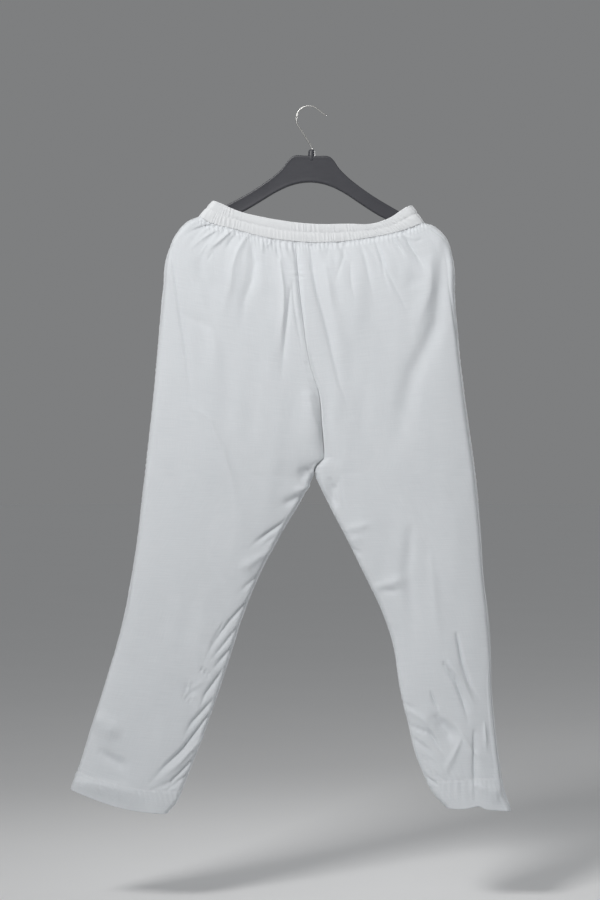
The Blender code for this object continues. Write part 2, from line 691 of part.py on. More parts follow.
def main():
    for old in list(bpy.data.objects):
        bpy.data.objects.remove(old)
    cloth = make_material("white_cloth", (0.82, 0.84, 0.85), 0.75)
    casing = make_material("white_casing", (0.84, 0.85, 0.86), 0.75)
    plastic = make_material("charcoal_plastic", (0.035, 0.037, 0.045), 0.45)
    steel = make_material("bright_steel", (0.62, 0.62, 0.60), 0.2, 1.0)

    left, right = Half("left"), Half("right")
    left.other, right.other = right, left
    make_waistband(casing)
    for half in (left, right):
        for face in ("front", "back"):
            make_panel(half, face, cloth)
    make_hanger(plastic)
    make_hook(steel)


main()
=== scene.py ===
"""The look of pull-on trousers on their clothes hanger: cloth with creases, gathers and stitching, a
moulded hanger and a wire hook.

Sizes are in millimetres and are turned to metres as meshes are made. The origin is the inside top of
the hook, +Z is up and the front faces -Y. Left and right are as seen from the front. A drop is the
length of cloth from the waistband down to a level.
"""

import math
from collections import namedtuple

import bpy
import numpy as np
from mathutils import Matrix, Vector


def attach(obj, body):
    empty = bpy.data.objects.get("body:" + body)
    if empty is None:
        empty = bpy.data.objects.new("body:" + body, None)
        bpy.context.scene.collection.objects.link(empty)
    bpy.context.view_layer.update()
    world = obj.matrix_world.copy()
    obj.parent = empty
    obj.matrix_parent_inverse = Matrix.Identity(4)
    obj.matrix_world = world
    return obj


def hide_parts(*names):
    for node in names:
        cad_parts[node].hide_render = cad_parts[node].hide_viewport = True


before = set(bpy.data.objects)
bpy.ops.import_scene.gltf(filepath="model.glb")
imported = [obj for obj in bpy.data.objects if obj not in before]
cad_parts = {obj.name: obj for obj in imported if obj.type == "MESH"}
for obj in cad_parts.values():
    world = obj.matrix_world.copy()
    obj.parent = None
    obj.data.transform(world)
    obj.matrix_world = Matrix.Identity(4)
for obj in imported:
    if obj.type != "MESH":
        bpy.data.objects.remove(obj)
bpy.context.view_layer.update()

MM = 0.001
PI = math.pi

# Camera, level with the middle of the garment
VIEW_DISTANCE = 4000.0
VIEW_CENTRE = (-14.0, -532.0)
VIEW_HEIGHT = 1395.0
SENSOR = 36.0
VIEW_END_M = 200
FLOOR_Z = -1240.0
FLOOR_SIZE = 60000.0

# Studio light, with places and sizes in metres and power in watts
WORLD_STRENGTH = 0.215
WORLD_COLOUR = (0.97, 0.985, 1.0, 1)
SUN_STRENGTH = 0.24
SUN_BREADTH_DEG = 40
SUN_TURN_DEG = (35, -30, 0)
Light = namedtuple("Light", "name place aim size power spread_deg colour")
LIGHTS = (
    Light("key", (-1.3, -2.5, 1.6), (0.1, 0, -0.08), (0.8, 0.8), 13.9, 70, (1.0, 0.99, 0.98)),
    Light("fill", (1.9, -2.8, 0.2), (0, 0, -0.3), (1.4, 1.8), 4, 180, (0.96, 0.98, 1.0)),
    Light("back", (1.6, 2.4, 0.2), (0, 0, -0.35), (0.9, 0.9), 7.6, 64, (1, 1, 1)),
)

# Colours
CLOTH_COLOURS = {"light": (0.76, 0.784, 0.808), "dark": (0.62, 0.65, 0.68)}
CASING_COLOURS = {"light": (0.79, 0.807, 0.823), "dark": (0.68, 0.696, 0.712)}
THREAD_COLOURS = {"light": (0.80, 0.81, 0.83), "dark": (0.70, 0.71, 0.73)}
PLASTIC_COLOURS = {"light": (0.051, 0.052, 0.061), "dark": (0.036, 0.037, 0.045)}
WIRE_COLOURS = {"light": (0.66, 0.65, 0.63), "dark": (0.50, 0.50, 0.49)}
FLOOR_COLOURS = {"light": (0.80, 0.805, 0.81), "dark": (0.78, 0.785, 0.79)}

# Outline of the trousers
CROTCH_DROP = 378.0
SLIT_TOP_DROP = 665.0
HEM_DROP = 850.0
HEM_EDGE_DROP = 885.0
HEM_SAG_START_DROP = 600.0
HEM_SAG = {"left": 8.0, "right": -1.5}
WAIST_SAG_DROP = 130.0
LEVEL_DROP = 25.0
SEAM_GAP = 0.08
SEAM_MARGIN = 0.15
SIDE_SEAM_FORWARD = 5.0
SLIT_OPENING = {"left": 0.6, "right": 0.7}
SLIT_FORWARD = {"left": 0.0, "right": 4.5}
BAND_OVERLAP = 1.6

# How finely the outline is followed, and how strongly its bends draw the columns together
OUTLINE_STEPS = 360
PROBE_ANGLE = 0.004
PROBE_DROP = 0.5
BEND_LENGTH = 14.0
SHARPEST_BEND = 0.5

# Cloth
CLOTH_WALL = 0.6
HEM_WALL = 1.5
PANEL_COLUMNS = 164
FIRST_PANEL_SEED = 140
PANEL_SEED_STEP = 100

# The hanging cloth: its fullness and gathers below the waistband, and soft swells all over
FULLNESS = 2.0
FULLNESS_END_DROPS = (70, 210)
GATHER_COUNT = 17
GATHER_STRENGTH = {"front": 0.35, "back": 1.0}
Swell = namedtuple("Swell", "lean breadth length height")
SWELLS = (Swell(0.2, 42, 150, 1.3), Swell(-0.1, 21, 80, 0.7), Swell(0.5, 13, 30, 0.28))

# Seams, the slit's edge and the hem: depths and heights, and the pitch of the puckers beside them
WAIST_PUCKER = 1.2
WAIST_PUCKER_PITCH = 6.6
WAIST_EDGE_RISE = 0.35
SEAM_TUCK = 0.8
SEAM_TUCK_WIDTH = 3.2
SEAM_TURN_POWER = 1.6
SEAM_PULL_REACH = 30.0
SEAM_PUCKER = 0.55
SEAM_PUCKER_PITCH = 9.5
SIDE_TUCK = 0.6
SIDE_PUCKER = 0.35
SIDE_PUCKER_PITCH = 11.0
SLIT_EDGE_RISE = 0.5
HEM_RISE = 0.5
HEM_ROPING = 0.45
HEM_ROPING_SLANT = 0.8
HEM_PUCKER = 0.3
HEM_PUCKER_PITCH = 8.5
HEM_GROOVE = 0.7
HEM_LIFT = 5.0
HEM_LIFT_X = 262.0
HEM_LIFT_WIDTHS = (13, 8)

# Creases: how they widen, deepen and fade along their line, and how crisp narrow and wide ones are
CREASE_WIDENING = (0.8, 1.3)
CREASE_START_DEPTH = 0.55
CREASE_END_DEPTH = 0.15
NARROW_CREASE = 4
WIDE_CREASE = 9
NARROW_CREASE_POWER = 1.25
WIDE_CREASE_POWER = 2.0

# Waistband
BAND_GATHERS = 116
BAND_COLUMNS_PER_GATHER = 9
BAND_LOW_HALF_DEPTH = 12.0
BAND_TOP_HALF_DEPTH = 11.0
BAND_LOW_FOLD_RADIUS = 9.0
BAND_TOP_FOLD_RADIUS = 8.5
BAND_MIDDLE = 0.55
BAND_THICKNESS = 3.0
BAND_NOISE_RADIUS = 112.0
BAND_EDGE_WAVE = 0.7
BAND_INSIDE_RIPPLE = 0.35
BAND_FOLD_TURNS_DEG = (30, 60, 90, 120, 150)
BAND_INSIDE_HEIGHTS = (0.95, 0.8, 0.65, 0.52, 0.4, 0.25, 0.1, 0.0)
CALMEST_RIPPLE = 0.2
STRONGEST_RIPPLE = 1.1
STRONG_RIPPLE_TURN = 0.44

# Stitches, and the share of their length and thickness at each of their rings
STITCH_PITCH = 3.0
STITCH_LENGTH = 2.3
STITCH_RADIUS = 0.22
STITCH_BREADTH = 1.3
STITCH_SIDES = 6
STITCH_RINGS = ((-0.5, 0.35), (-0.36, 1.0), (0.0, 1.2), (0.36, 1.0), (0.5, 0.35))
SEWN_COLUMNS_FROM_SLIT = 4

# Hanger
HANGER_CENTRE_X = 4.05
HANGER_THICKNESS = 10.0
HANGER_TILT_DEG = 1.25
HANGER_ARM_REACH = 207.0
HANGER_END_RADIUS = 10.0
HANGER_END_Z = -207.8
HANGER_ARM_SLOPE_DEG = 30.0
COLLAR_TOP_Z = -66.5
COLLAR_SIDES = 40

# Hook
HOOK_WIRE_RADIUS = 1.3
HOOK_WIRE_SIDES = 20
HOOK_RADIUS = 20.0
HOOK_END_ANGLE_DEG = 38.0
HOOK_END_LENGTH = 17.0
HOOK_LEAN_DEG = 29.0
HOOK_SOCKET_DEPTH = 9.0
HOOK_CORNER_RISE = 3.5
HOOK_BEND_RISE = 0.5
HOOK_BEND_LENGTH = 6

# Materials
THREAD_RATE = 9000.0
THREAD_WANDER = 3.0
BUMP_DEPTH_M = 0.0002

# The body down to the crotch, by the drop down the cloth from the waistband
Body = namedtuple("Body", "drop left_x left_z seam_x seam_z right_x right_z half_depth fold_radius overlap")
BODY = (
    Body(0, -170, -170, -22, -208, 178, -180, 12.0, 9.0, 1.00),
    Body(18, -189, -178, -20, -226, 194, -186, 14.5, 9.0, 1.00),
    Body(40, -208, -199, -18, -248, 212.5, -203, 18.0, 9.0, 0.97),
    Body(70, -219, -228, -15, -279, 223, -234, 22.0, 9.0, 0.92),
    Body(125, -225, -284, -9, -333, 226, -293, 25.0, 9.0, 0.80),
    Body(200, -234, -366, 0, -405, 233, -377, 27.0, 9.0, 0.60),
    Body(285, -243, -457, 9, -485, 243, -462, 27.0, 9.0, 0.33),
    Body(345, -251, -532, 13, -539, 253, -535, 26.0, 9.0, 0.12),
    Body(378, -254, -563, 8, -571, 257, -563, 25.0, 9.0, 0.00),
)

# Each leg from the crotch to its hem
Leg = namedtuple("Leg", "drop outer_x outer_z inner_x inner_z half_depth fold_radius")
LEGS = {
    "left": (
        Leg(425, -260, -614, -14, -614, 24.0, 8.5),
        Leg(470, -265, -659, -42, -660, 23.5, 8.5),
        Leg(540, -274, -725, -79, -732, 22.5, 8.0),
        Leg(595, -284, -780, -101, -786, 21.0, 8.0),
        Leg(650, -298, -834, -119, -843, 20.0, 7.5),
        Leg(710, -316, -896, -140, -907, 19.0, 7.5),
        Leg(770, -335, -956, -163, -972, 17.5, 7.0),
        Leg(830, -353, -1014, -188, -1037, 16.5, 7.0),
        Leg(865, -363, -1040, -205, -1077, 16.0, 7.0),
        Leg(885, -369, -1057, -220, -1095, 16.0, 7.0),
    ),
    "right": (
        Leg(425, 262, -615, 29, -614, 24.0, 8.5),
        Leg(470, 266, -659, 53, -660, 23.5, 8.5),
        Leg(540, 271, -728, 87, -728, 22.5, 8.0),
        Leg(595, 277, -783, 113, -783, 21.0, 8.0),
        Leg(650, 281, -835, 130, -835, 20.0, 7.5),
        Leg(710, 283, -897, 140, -897, 19.0, 7.5),
        Leg(770, 288, -956, 153, -956, 17.5, 7.0),
        Leg(830, 295, -1015, 170, -1018, 16.5, 7.0),
        Leg(865, 302, -1060, 194, -1066, 16.0, 7.0),
        Leg(885, 313, -1091, 215, -1087, 16.0, 7.0),
    ),
}

# The waistband's lower and top edges, from its left end to its right end
BandEdge = namedtuple("BandEdge", "low_x low_z top_x top_z")
BAND_EDGES = (
    BandEdge(-170, -170, -149, -146.5),
    BandEdge(-157, -179, -140, -150),
    BandEdge(-115, -191, -107, -164),
    BandEdge(-71, -203, -67, -173.5),
    BandEdge(3, -211.5, 3, -183),
    BandEdge(67, -208.5, 61, -183),
    BandEdge(110, -201, 99, -182.5),
    BandEdge(140, -194.5, 125, -173.5),
    BandEdge(168, -184.5, 149, -158),
    BandEdge(178, -180, 158, -153.5),
)

# One arm of the hanger, from the middle outwards
HangerSection = namedtuple("HangerSection", "out top_z under_z")
HANGER_SECTIONS = (
    HangerSection(0, -76, -117.5),
    HangerSection(12, -76, -118.5),
    HangerSection(25, -76, -121.3),
    HangerSection(30, -78, -123),
    HangerSection(35, -83, -124.8),
    HangerSection(43, -94, -128.5),
    HangerSection(56, -107, -135.5),
    HangerSection(74, -121, -147),
    HangerSection(98, -137, -162),
    HangerSection(126, -153, -177),
    HangerSection(155, -168.5, -193),
    HangerSection(180, -182.5, -207),
)

# The bar's section from an edge inwards: the inset down its face and the share of its half depth
BarEdge = namedtuple("BarEdge", "inset depth")
BAR_EDGE = (
    BarEdge(0.0, 0.0),
    BarEdge(0.15, 0.45),
    BarEdge(0.6, 0.8),
    BarEdge(1.2, 0.93),
    BarEdge(2.2, 1.0),
    BarEdge(4.0, 0.97),
    BarEdge(9.0, 0.95),
)

# The collar and the rib below it, by height from the collar's top
CollarStep = namedtuple("CollarStep", "radius z")
COLLAR_STEPS = (
    CollarStep(0.02, 0.4),
    CollarStep(1.5, 0.4),
    CollarStep(2.6, 0.2),
    CollarStep(3.6, -0.4),
    CollarStep(4.5, -1.4),
    CollarStep(5.0, -2.6),
    CollarStep(5.2, -4.0),
    CollarStep(5.2, -7.0),
    CollarStep(5.4, -8.0),
    CollarStep(5.5, -9.2),
    CollarStep(5.5, -14.0),
    CollarStep(5.4, -16.0),
    CollarStep(5.1, -17.2),
    CollarStep(4.4, -17.9),
    CollarStep(0.02, -18.0),
)

# Creases of the front and the back, along lines of (x, z) places, with a ridge's depth positive
# The left width is on the left of a line that runs downwards
Crease = namedtuple("Crease", "depth left_width right_width line")
CREASES = {
    "front": (
        Crease(-1.9, 1.8, 5, ((-143, -184), (-163, -186), (-178, -192), (-192, -200))),
        Crease(-1.2, 4, 4, ((-170, -172), (-191, -178), (-205, -192))),
        Crease(1.6, 3.5, 1.6, ((-130, -186), (-146, -195), (-163, -205), (-183, -222))),
        Crease(1.0, 2, 2, ((-157, -212), (-170, -234))),
        Crease(2.7, 6.5, 1.8, ((-118, -192), (-133, -206), (-146, -217), (-157, -226))),
        Crease(-1.9, 3, 12, ((-113, -198), (-121, -208), (-130, -225))),
        Crease(-0.9, 1.6, 2, ((-149, -228), (-158, -242))),
        Crease(-2.4, 1.5, 1.5, ((-115, -191), (-101, -195))),
        Crease(2.3, 6, 5, ((-93, -198), (-110, -223), (-118, -250), (-121, -281), (-133, -318))),
        Crease(-2.4, 1.5, 1.8, ((-90, -197), (-82, -205))),
        Crease(-2.4, 1.5, 1.5, ((-79, -200), (-70, -205))),
        Crease(-2.6, 7, 5, ((-91, -206), (-84, -243), (-88, -271), (-99, -302), (-104, -341))),
        Crease(1.0, 3, 3, ((-71, -206), (-73, -231))),
        Crease(1.4, 1.6, 1.6, ((-67, -205), (-59, -211), (-68, -220))),
        Crease(-2.2, 2.5, 2.5, ((-54, -208), (-50, -222), (-45, -236))),
        Crease(-1.4, 1.6, 3, ((-45, -208), (-42, -225), (-36, -246))),
        Crease(1.2, 9, 9, ((-71, -240), (-71, -299))),
        Crease(3.0, 5, 3, ((-45, -240), (-39, -284), (-39, -315), (-45, -375))),
        Crease(-2.8, 3, 4, ((-29, -284), (-33, -326), (-39, -377), (-43, -414))),
        Crease(1.2, 3, 3, ((-40, -214), (-29, -240))),
        Crease(1.2, 2.5, 3, ((-16, -222), (-14, -242))),
        Crease(-1.8, 1.6, 2.4, ((-26, -274), (-23, -312), (-17, -346), (-11, -380))),
        Crease(-1.8, 1.6, 4, ((-26, -209), (-20, -232), (-14, -259))),
        Crease(
            -3.6, 4, 6,
            ((2, -217), (5, -253), (11, -284), (20, -318), (31, -361), (45, -429), (64, -479)),
        ),
        Crease(2.2, 7, 7, ((26, -250), (36, -315), (53, -380))),
        Crease(-1.2, 2, 3, ((28, -212), (29, -237))),
        Crease(-1.2, 3, 3, ((54, -212), (53, -234), (39, -277))),
        Crease(-1.6, 3.5, 3, ((78, -209), (87, -239), (93, -267), (101, -299))),
        Crease(-1.2, 3, 4, ((64, -243), (65, -277), (71, -305))),
        Crease(
            -2.6, 1.8, 2.6,
            ((99, -203), (105, -217), (112, -239), (119, -254), (130, -277), (141, -298), (153, -322)),
        ),
        Crease(1.0, 1.5, 1.5, ((116, -246), (121, -256))),
        Crease(-1.4, 3, 3, ((112, -240), (116, -264), (124, -288))),
        Crease(-2.0, 2.5, 1.6, ((126, -198), (138, -217), (149, -237))),
        Crease(1.6, 1.6, 2.4, ((132, -200), (152, -232))),
        Crease(-3.5, 2.8, 3.4, ((146, -195), (155, -215), (169, -237), (180, -256))),
        Crease(1.0, 1.5, 1.5, ((163, -215), (188, -245))),
        Crease(1.2, 1.8, 1.8, ((150, -202), (167, -208))),
        Crease(-1.4, 1.5, 1.5, ((167, -209), (175, -206))),
        Crease(-1.8, 1.5, 1.8, ((188, -191), (205, -203), (214, -212))),
        Crease(-1.8, 12, 12, ((158, -262), (166, -284))),
        Crease(2.0, 12, 6, ((189, -240), (188, -284), (178, -312), (160, -352))),
        Crease(
            -4.6, 12, 14,
            ((212, -214), (206, -250), (203, -284), (197, -335), (161, -414), (133, -539)),
        ),
        Crease(-1.4, 2, 2.5, ((212, -234), (217, -284), (225, -330), (246, -476))),
        Crease(-2.0, 2.2, 5, ((-215, -212), (-209, -250), (-203, -299), (-189, -392), (-180, -476))),
        Crease(1.6, 8, 8, ((-169, -284), (-147, -361), (-135, -442))),
        Crease(-1.5, 9, 9, ((-172, -246), (-158, -274), (-135, -296))),
        Crease(-0.7, 3, 3, ((-197, -240), (-178, -271), (-157, -298))),
        Crease(-1.4, 5, 5, ((-192, -324), (-136, -350))),
        Crease(1.7, 5, 5, ((-183, -463), (-152, -485), (-133, -533), (-119, -572), (-108, -639))),
        Crease(4.5, 12, 6, ((-8, -451), (-2, -482), (5, -513), (9, -535))),
        Crease(-5.0, 9, 7, ((33, -581), (36, -594), (37, -608), (42, -628))),
        Crease(-4.4, 8, 8, ((6, -563), (-9, -570), (-19, -575))),
        Crease(3.0, 5, 5, ((3, -586), (-11, -592), (-29, -600))),
        Crease(-4.0, 5, 7, ((-11, -603), (-26, -609), (-46, -618))),
        Crease(-1.8, 1.5, 1.8, ((-8, -397), (2, -409))),
        Crease(-1.8, 1.5, 1.8, ((-6, -411), (3, -422))),
        Crease(-1.8, 1.5, 1.8, ((-6, -425), (3, -436))),
        Crease(-1.6, 1.5, 1.8, ((-5, -437), (5, -448))),
        Crease(-1.6, 1.5, 1.8, ((0, -450), (8, -460))),
        Crease(-1.6, 4, 4, ((46, -575), (40, -600))),
        Crease(-1.4, 3, 3, ((48, -583), (56, -628))),
        Crease(-4.4, 2.2, 4, ((-39, -643), (-64, -660), (-90, -680))),
        Crease(-1.8, 2, 2.5, ((-51, -665), (-73, -680))),
        Crease(3.0, 6, 6, ((-57, -685), (-93, -708), (-115, -719))),
        Crease(-2.8, 3, 3, ((-81, -728), (-108, -752))),
        Crease(-4.0, 2, 3.5, ((-91, -761), (-122, -795), (-149, -832), (-160, -854))),
        Crease(-1.8, 2, 2, ((-133, -800), (-152, -832))),
        Crease(-3.6, 2, 2.5, ((-113, -809), (-152, -857))),
        Crease(-4.2, 2.5, 3, ((-121, -839), (-149, -870))),
        Crease(-3.9, 1.6, 2, ((-170, -868), (-149, -884))),
        Crease(2.4, 2, 2, ((-184, -891), (-186, -904), (-160, -888))),
        Crease(-3.0, 1.6, 1.6, ((-194, -911), (-178, -924))),
        Crease(-2.7, 8, 8, ((-191, -894), (-175, -913))),
        Crease(-5.1, 2.2, 3, ((-135, -874), (-160, -908), (-167, -927))),
        Crease(-5.1, 2.5, 3, ((-150, -919), (-181, -953), (-192, -972))),
        Crease(-6.6, 2.4, 3, ((-157, -944), (-195, -994), (-225, -1023), (-245, -1045))),
        Crease(3.6, 3, 3, ((-164, -975), (-200, -1015), (-231, -1040))),
        Crease(-5.1, 2, 2.6, ((-180, -1011), (-214, -1045), (-242, -1056))),
        Crease(-3.6, 1.6, 2, ((-186, -1032), (-222, -1059))),
        Crease(6.3, 16, 12, ((-330, -941), (-312, -959), (-287, -975))),
        Crease(-5.1, 8, 8, ((-321, -1000), (-296, -1015), (-274, -1025))),
        Crease(7.5, 17, 7, ((-370, -1043), (-336, -1046), (-296, -1054), (-246, -1073))),
        Crease(2.4, 5, 5, ((56, -656), (98, -645))),
        Crease(1.6, 4, 4, ((60, -671), (88, -668))),
        Crease(-2.2, 2.5, 2.5, ((67, -685), (84, -694))),
        Crease(2.8, 7, 6, ((99, -746), (126, -738), (153, -728))),
        Crease(-2.8, 3, 5, ((113, -749), (141, -752))),
        Crease(-3.0, 10, 10, ((157, -659), (152, -716), (160, -786), (161, -826))),
        Crease(1.6, 7, 7, ((188, -702), (197, -795), (203, -842))),
        Crease(-5.7, 3, 2.5, ((228, -817), (237, -863), (248, -894), (262, -914))),
        Crease(-6.0, 2.5, 4, ((208, -863), (225, -887), (237, -918), (245, -949))),
        Crease(3.6, 3, 3, ((217, -860), (240, -894), (256, -927))),
        Crease(-3.9, 2.2, 2.5, ((188, -907), (200, -936))),
        Crease(-7.5, 9, 9, ((198, -947), (229, -984))),
        Crease(-2.7, 2, 2, ((149, -924), (167, -936))),
        Crease(3.6, 4, 4, ((152, -933), (178, -949), (202, -978))),
        Crease(-5.1, 2.2, 3, ((155, -958), (186, -970), (209, -1003))),
        Crease(-3.9, 2.4, 2.4, ((161, -978), (194, -1003))),
        Crease(-3.0, 2, 2, ((174, -1006), (198, -1018))),
        Crease(-4.2, 1.8, 2, ((178, -1035), (202, -1052))),
        Crease(-2.7, 1.6, 1.6, ((188, -1029), (211, -1043))),
        Crease(3.6, 4, 3, ((234, -981), (222, -1006), (206, -1037))),
        Crease(2.7, 2.5, 2.5, ((236, -970), (253, -998), (279, -1018))),
        Crease(-4.2, 2, 7, ((254, -969), (254, -1018), (256, -1074))),
        Crease(3.3, 2.5, 2.5, ((271, -956), (274, -994))),
        Crease(6.0, 13, 6, ((259, -1051), (281, -1057), (305, -1070))),
    ),
    "back": (
        Crease(-4.6, 18, 18, ((-206, -215), (-184, -315), (-150, -417), (-126, -532))),
        Crease(-4.4, 18, 18, ((205, -215), (188, -315), (153, -417), (129, -532))),
        Crease(-3.2, 5, 5, ((-169, -194), (-144, -231), (-129, -271))),
        Crease(-3.6, 5, 6, ((-129, -203), (-113, -253), (-107, -308))),
        Crease(2.6, 6, 6, ((-147, -200), (-129, -240), (-116, -299))),
        Crease(-3.0, 4, 4, ((-88, -209), (-82, -268), (-88, -327))),
        Crease(2.4, 6, 6, ((-73, -215), (-70, -299), (-79, -374))),
        Crease(-3.4, 6, 6, ((-57, -215), (-51, -299), (-57, -380))),
        Crease(-2.8, 4, 4, ((-29, -219), (-23, -271), (-17, -330), (-8, -392))),
        Crease(-2.2, 4, 4, ((11, -222), (8, -284), (14, -346))),
        Crease(-3.2, 6, 7, ((33, -219), (36, -293), (48, -364), (57, -442))),
        Crease(2.4, 6, 6, ((51, -222), (57, -299), (73, -377))),
        Crease(-3.2, 5, 5, ((73, -212), (82, -281), (101, -346))),
        Crease(-2.8, 4, 4, ((98, -206), (116, -253), (138, -299))),
        Crease(-4.0, 5, 5, ((135, -200), (160, -231), (175, -268))),
        Crease(-3.0, 5, 5, ((169, -194), (191, -215), (203, -240))),
        Crease(-2.0, 8, 8, ((-175, -346), (-163, -454), (-135, -563))),
        Crease(-2.0, 8, 8, ((178, -346), (166, -454), (144, -578))),
        Crease(2.6, 14, 14, ((-36, -454), (-26, -516), (-14, -563))),
        Crease(2.4, 14, 14, ((54, -460), (48, -516), (39, -563))),
        Crease(-2.4, 9, 9, ((-14, -501), (-42, -609), (-73, -671))),
        Crease(-2.4, 9, 9, ((39, -501), (67, -609), (98, -671))),
        Crease(-2.8, 5, 5, ((-54, -656), (-95, -696))),
        Crease(-2.4, 5, 5, ((-73, -718), (-107, -752))),
        Crease(2.2, 7, 7, ((-82, -690), (-116, -724))),
        Crease(-2.6, 5, 5, ((-107, -795), (-147, -839))),
        Crease(-2.4, 6, 6, ((-150, -904), (-188, -944))),
        Crease(-3.0, 6, 6, ((-175, -981), (-231, -1040))),
        Crease(-2.2, 10, 10, ((-290, -919), (-305, -990))),
        Crease(-2.6, 5, 5, ((67, -653), (107, -684))),
        Crease(2.2, 7, 7, ((88, -696), (129, -711))),
        Crease(-2.6, 5, 5, ((98, -730), (138, -752))),
        Crease(-2.4, 9, 9, ((178, -702), (181, -826))),
        Crease(-2.8, 5, 5, ((172, -857), (212, -904))),
        Crease(-2.4, 5, 5, ((163, -928), (206, -966))),
        Crease(-2.8, 6, 6, ((219, -950), (243, -1031))),
        Crease(-2.0, 7, 7, ((274, -950), (287, -1043))),
    ),
}

# The front's centre seam by height: how far each edge lies back, over what width, and the sideways pull
SeamRow = namedtuple("SeamRow", "z left_back left_turn right_back right_turn pull")
SEAM_ROWS = (
    SeamRow(-600, 0.5, 3, 0.5, 3, 0),
    SeamRow(-578, 0.5, 3, 0.6, 4, 0),
    SeamRow(-571, 0.4, 2, 1.0, 8, 0),
    SeamRow(-562, 0.2, 2, 3.0, 8, -2),
    SeamRow(-555, 0.3, 2, 3.6, 8, 0),
    SeamRow(-550, 1.0, 3, 3.6, 7, 5),
    SeamRow(-546, 2.2, 4, 3.2, 5.5, 10),
    SeamRow(-542, 3.0, 5, 2.8, 4, 10.5),
    SeamRow(-536, 3.6, 6, 2.4, 3, 10),
    SeamRow(-519, 4.0, 8, 2.0, 2, 9.4),
    SeamRow(-490, 4.0, 9, 2.0, 2, 10),
    SeamRow(-471, 4.0, 9, 2.0, 2, 11),
    SeamRow(-452, 3.4, 8, 1.8, 2, 11),
    SeamRow(-440, 2.6, 6, 1.6, 2, 10),
    SeamRow(-430, 1.4, 4, 1.4, 2, 8),
    SeamRow(-420, 0.6, 3, 0.6, 3, 5.5),
    SeamRow(-405, 0.5, 3, 0.5, 3, 2.5),
    SeamRow(-385, 0.5, 3, 0.5, 3, 0.6),
    SeamRow(-365, 0.5, 3, 0.5, 3, 0),
    SeamRow(-330, 0.6, 4, 0.6, 4, 0),
    SeamRow(-250, 1.4, 3, 1.4, 3, 0),
    SeamRow(-205, 0.6, 4, 0.6, 4, 0),
)

# Rows of cloth, which lie closer at the waist, the crotch and the hem
RowRun = namedtuple("RowRun", "from_drop to_drop step")
ROW_RUNS = (
    RowRun(0, 12, 1.2),
    RowRun(12, 60, 1.8),
    RowRun(60, 356, 4.0),
    RowRun(356, 400, 2.4),
    RowRun(400, 846, 3.7),
    RowRun(846, 886, 1.4),
)


def mix(a, b, share):
    return a + (b - a) * share


def ease(start, end, value):
    """0 up to the start, 1 from the end on, and smooth between them. The end may be the lower."""
    share = np.clip((value - start) / (end - start), 0.0, 1.0)
    return share * share * (3 - 2 * share)


def hump(offset, breadth, power=2):
    """1 where the offset is 0, falling to nothing beyond the breadth."""
    return np.exp(-((offset / breadth) ** power))


class Smooth:
    """A curve that passes smoothly through the values at the knots."""

    def __init__(self, knots, values):
        self.knots = np.array(knots, float)
        self.values = np.array(values, float)
        self.spans = np.diff(self.knots)
        rises = np.diff(self.values) / self.spans
        near, far = self.spans[:-1], self.spans[1:]
        inner = (rises[:-1] * far + rises[1:] * near) / (near + far)
        self.slopes = np.concatenate([rises[:1], inner, rises[-1:]])

    def __call__(self, knot):
        knot = np.asarray(knot, float)
        i = np.clip(np.searchsorted(self.knots, knot) - 1, 0, len(self.spans) - 1)
        offset = knot - self.knots[i]
        t = offset / self.spans[i]
        first, last = self.values[i], self.values[i + 1]
        rise, fall = self.slopes[i], self.slopes[i + 1]
        inside = (1 + 2 * t) * (1 - t) ** 2 * first + t * (1 - t) ** 2 * self.spans[i] * rise
        inside += t * t * (3 - 2 * t) * last + t * t * (t - 1) * self.spans[i] * fall
        before = first + rise * offset
        after = last + fall * (knot - self.knots[i + 1])
        return np.where(t < 0, before, np.where(t > 1, after, inside))


def column(rows, name):
    return [getattr(row, name) for row in rows]


def lattice_noise(u, v, size_u, size_v, seed):
    """Smooth noise from -1 to 1, with bumps of about the given sizes."""
    made = np.random.RandomState(seed).uniform(-1, 1, (64, 64))
    u, v = np.broadcast_arrays(np.asarray(u, float) / size_u, np.asarray(v, float) / size_v)
    i, j = np.floor(u).astype(int), np.floor(v).astype(int)
    s, t = u - i, v - j
    s, t = s * s * (3 - 2 * s), t * t * (3 - 2 * t)
    low = mix(made[i % 64, j % 64], made[(i + 1) % 64, j % 64], s)
    high = mix(made[i % 64, (j + 1) % 64], made[(i + 1) % 64, (j + 1) % 64], s)
    return mix(low, high, t)


def unit(vectors):
    return vectors / np.maximum(np.linalg.norm(vectors, axis=-1, keepdims=True), 1e-9)


def fold_round(radius, from_end):
    """The half depth of a rounded fold at a distance from its end."""
    return np.sqrt(np.maximum(0, radius**2 - np.maximum(0, radius - from_end) ** 2))


BAND_FIRST, BAND_LAST = BAND_EDGES[0], BAND_EDGES[-1]
BAND_LOW_WIDTH = BAND_LAST.low_x - BAND_FIRST.low_x
BAND_TOP_WIDTH = BAND_LAST.top_x - BAND_FIRST.top_x
BAND_SHARES = [(edge.low_x - BAND_FIRST.low_x) / BAND_LOW_WIDTH for edge in BAND_EDGES]
band_low_z = Smooth(BAND_SHARES, column(BAND_EDGES, "low_z"))
band_top_x = Smooth(BAND_SHARES, column(BAND_EDGES, "top_x"))
band_top_z = Smooth(BAND_SHARES, column(BAND_EDGES, "top_z"))
overlap_at = Smooth(column(BODY, "drop"), column(BODY, "overlap"))
seam_x = Smooth(column(BODY, "drop"), column(BODY, "seam_x"))
seam_z = Smooth(column(BODY, "drop"), column(BODY, "seam_z"))


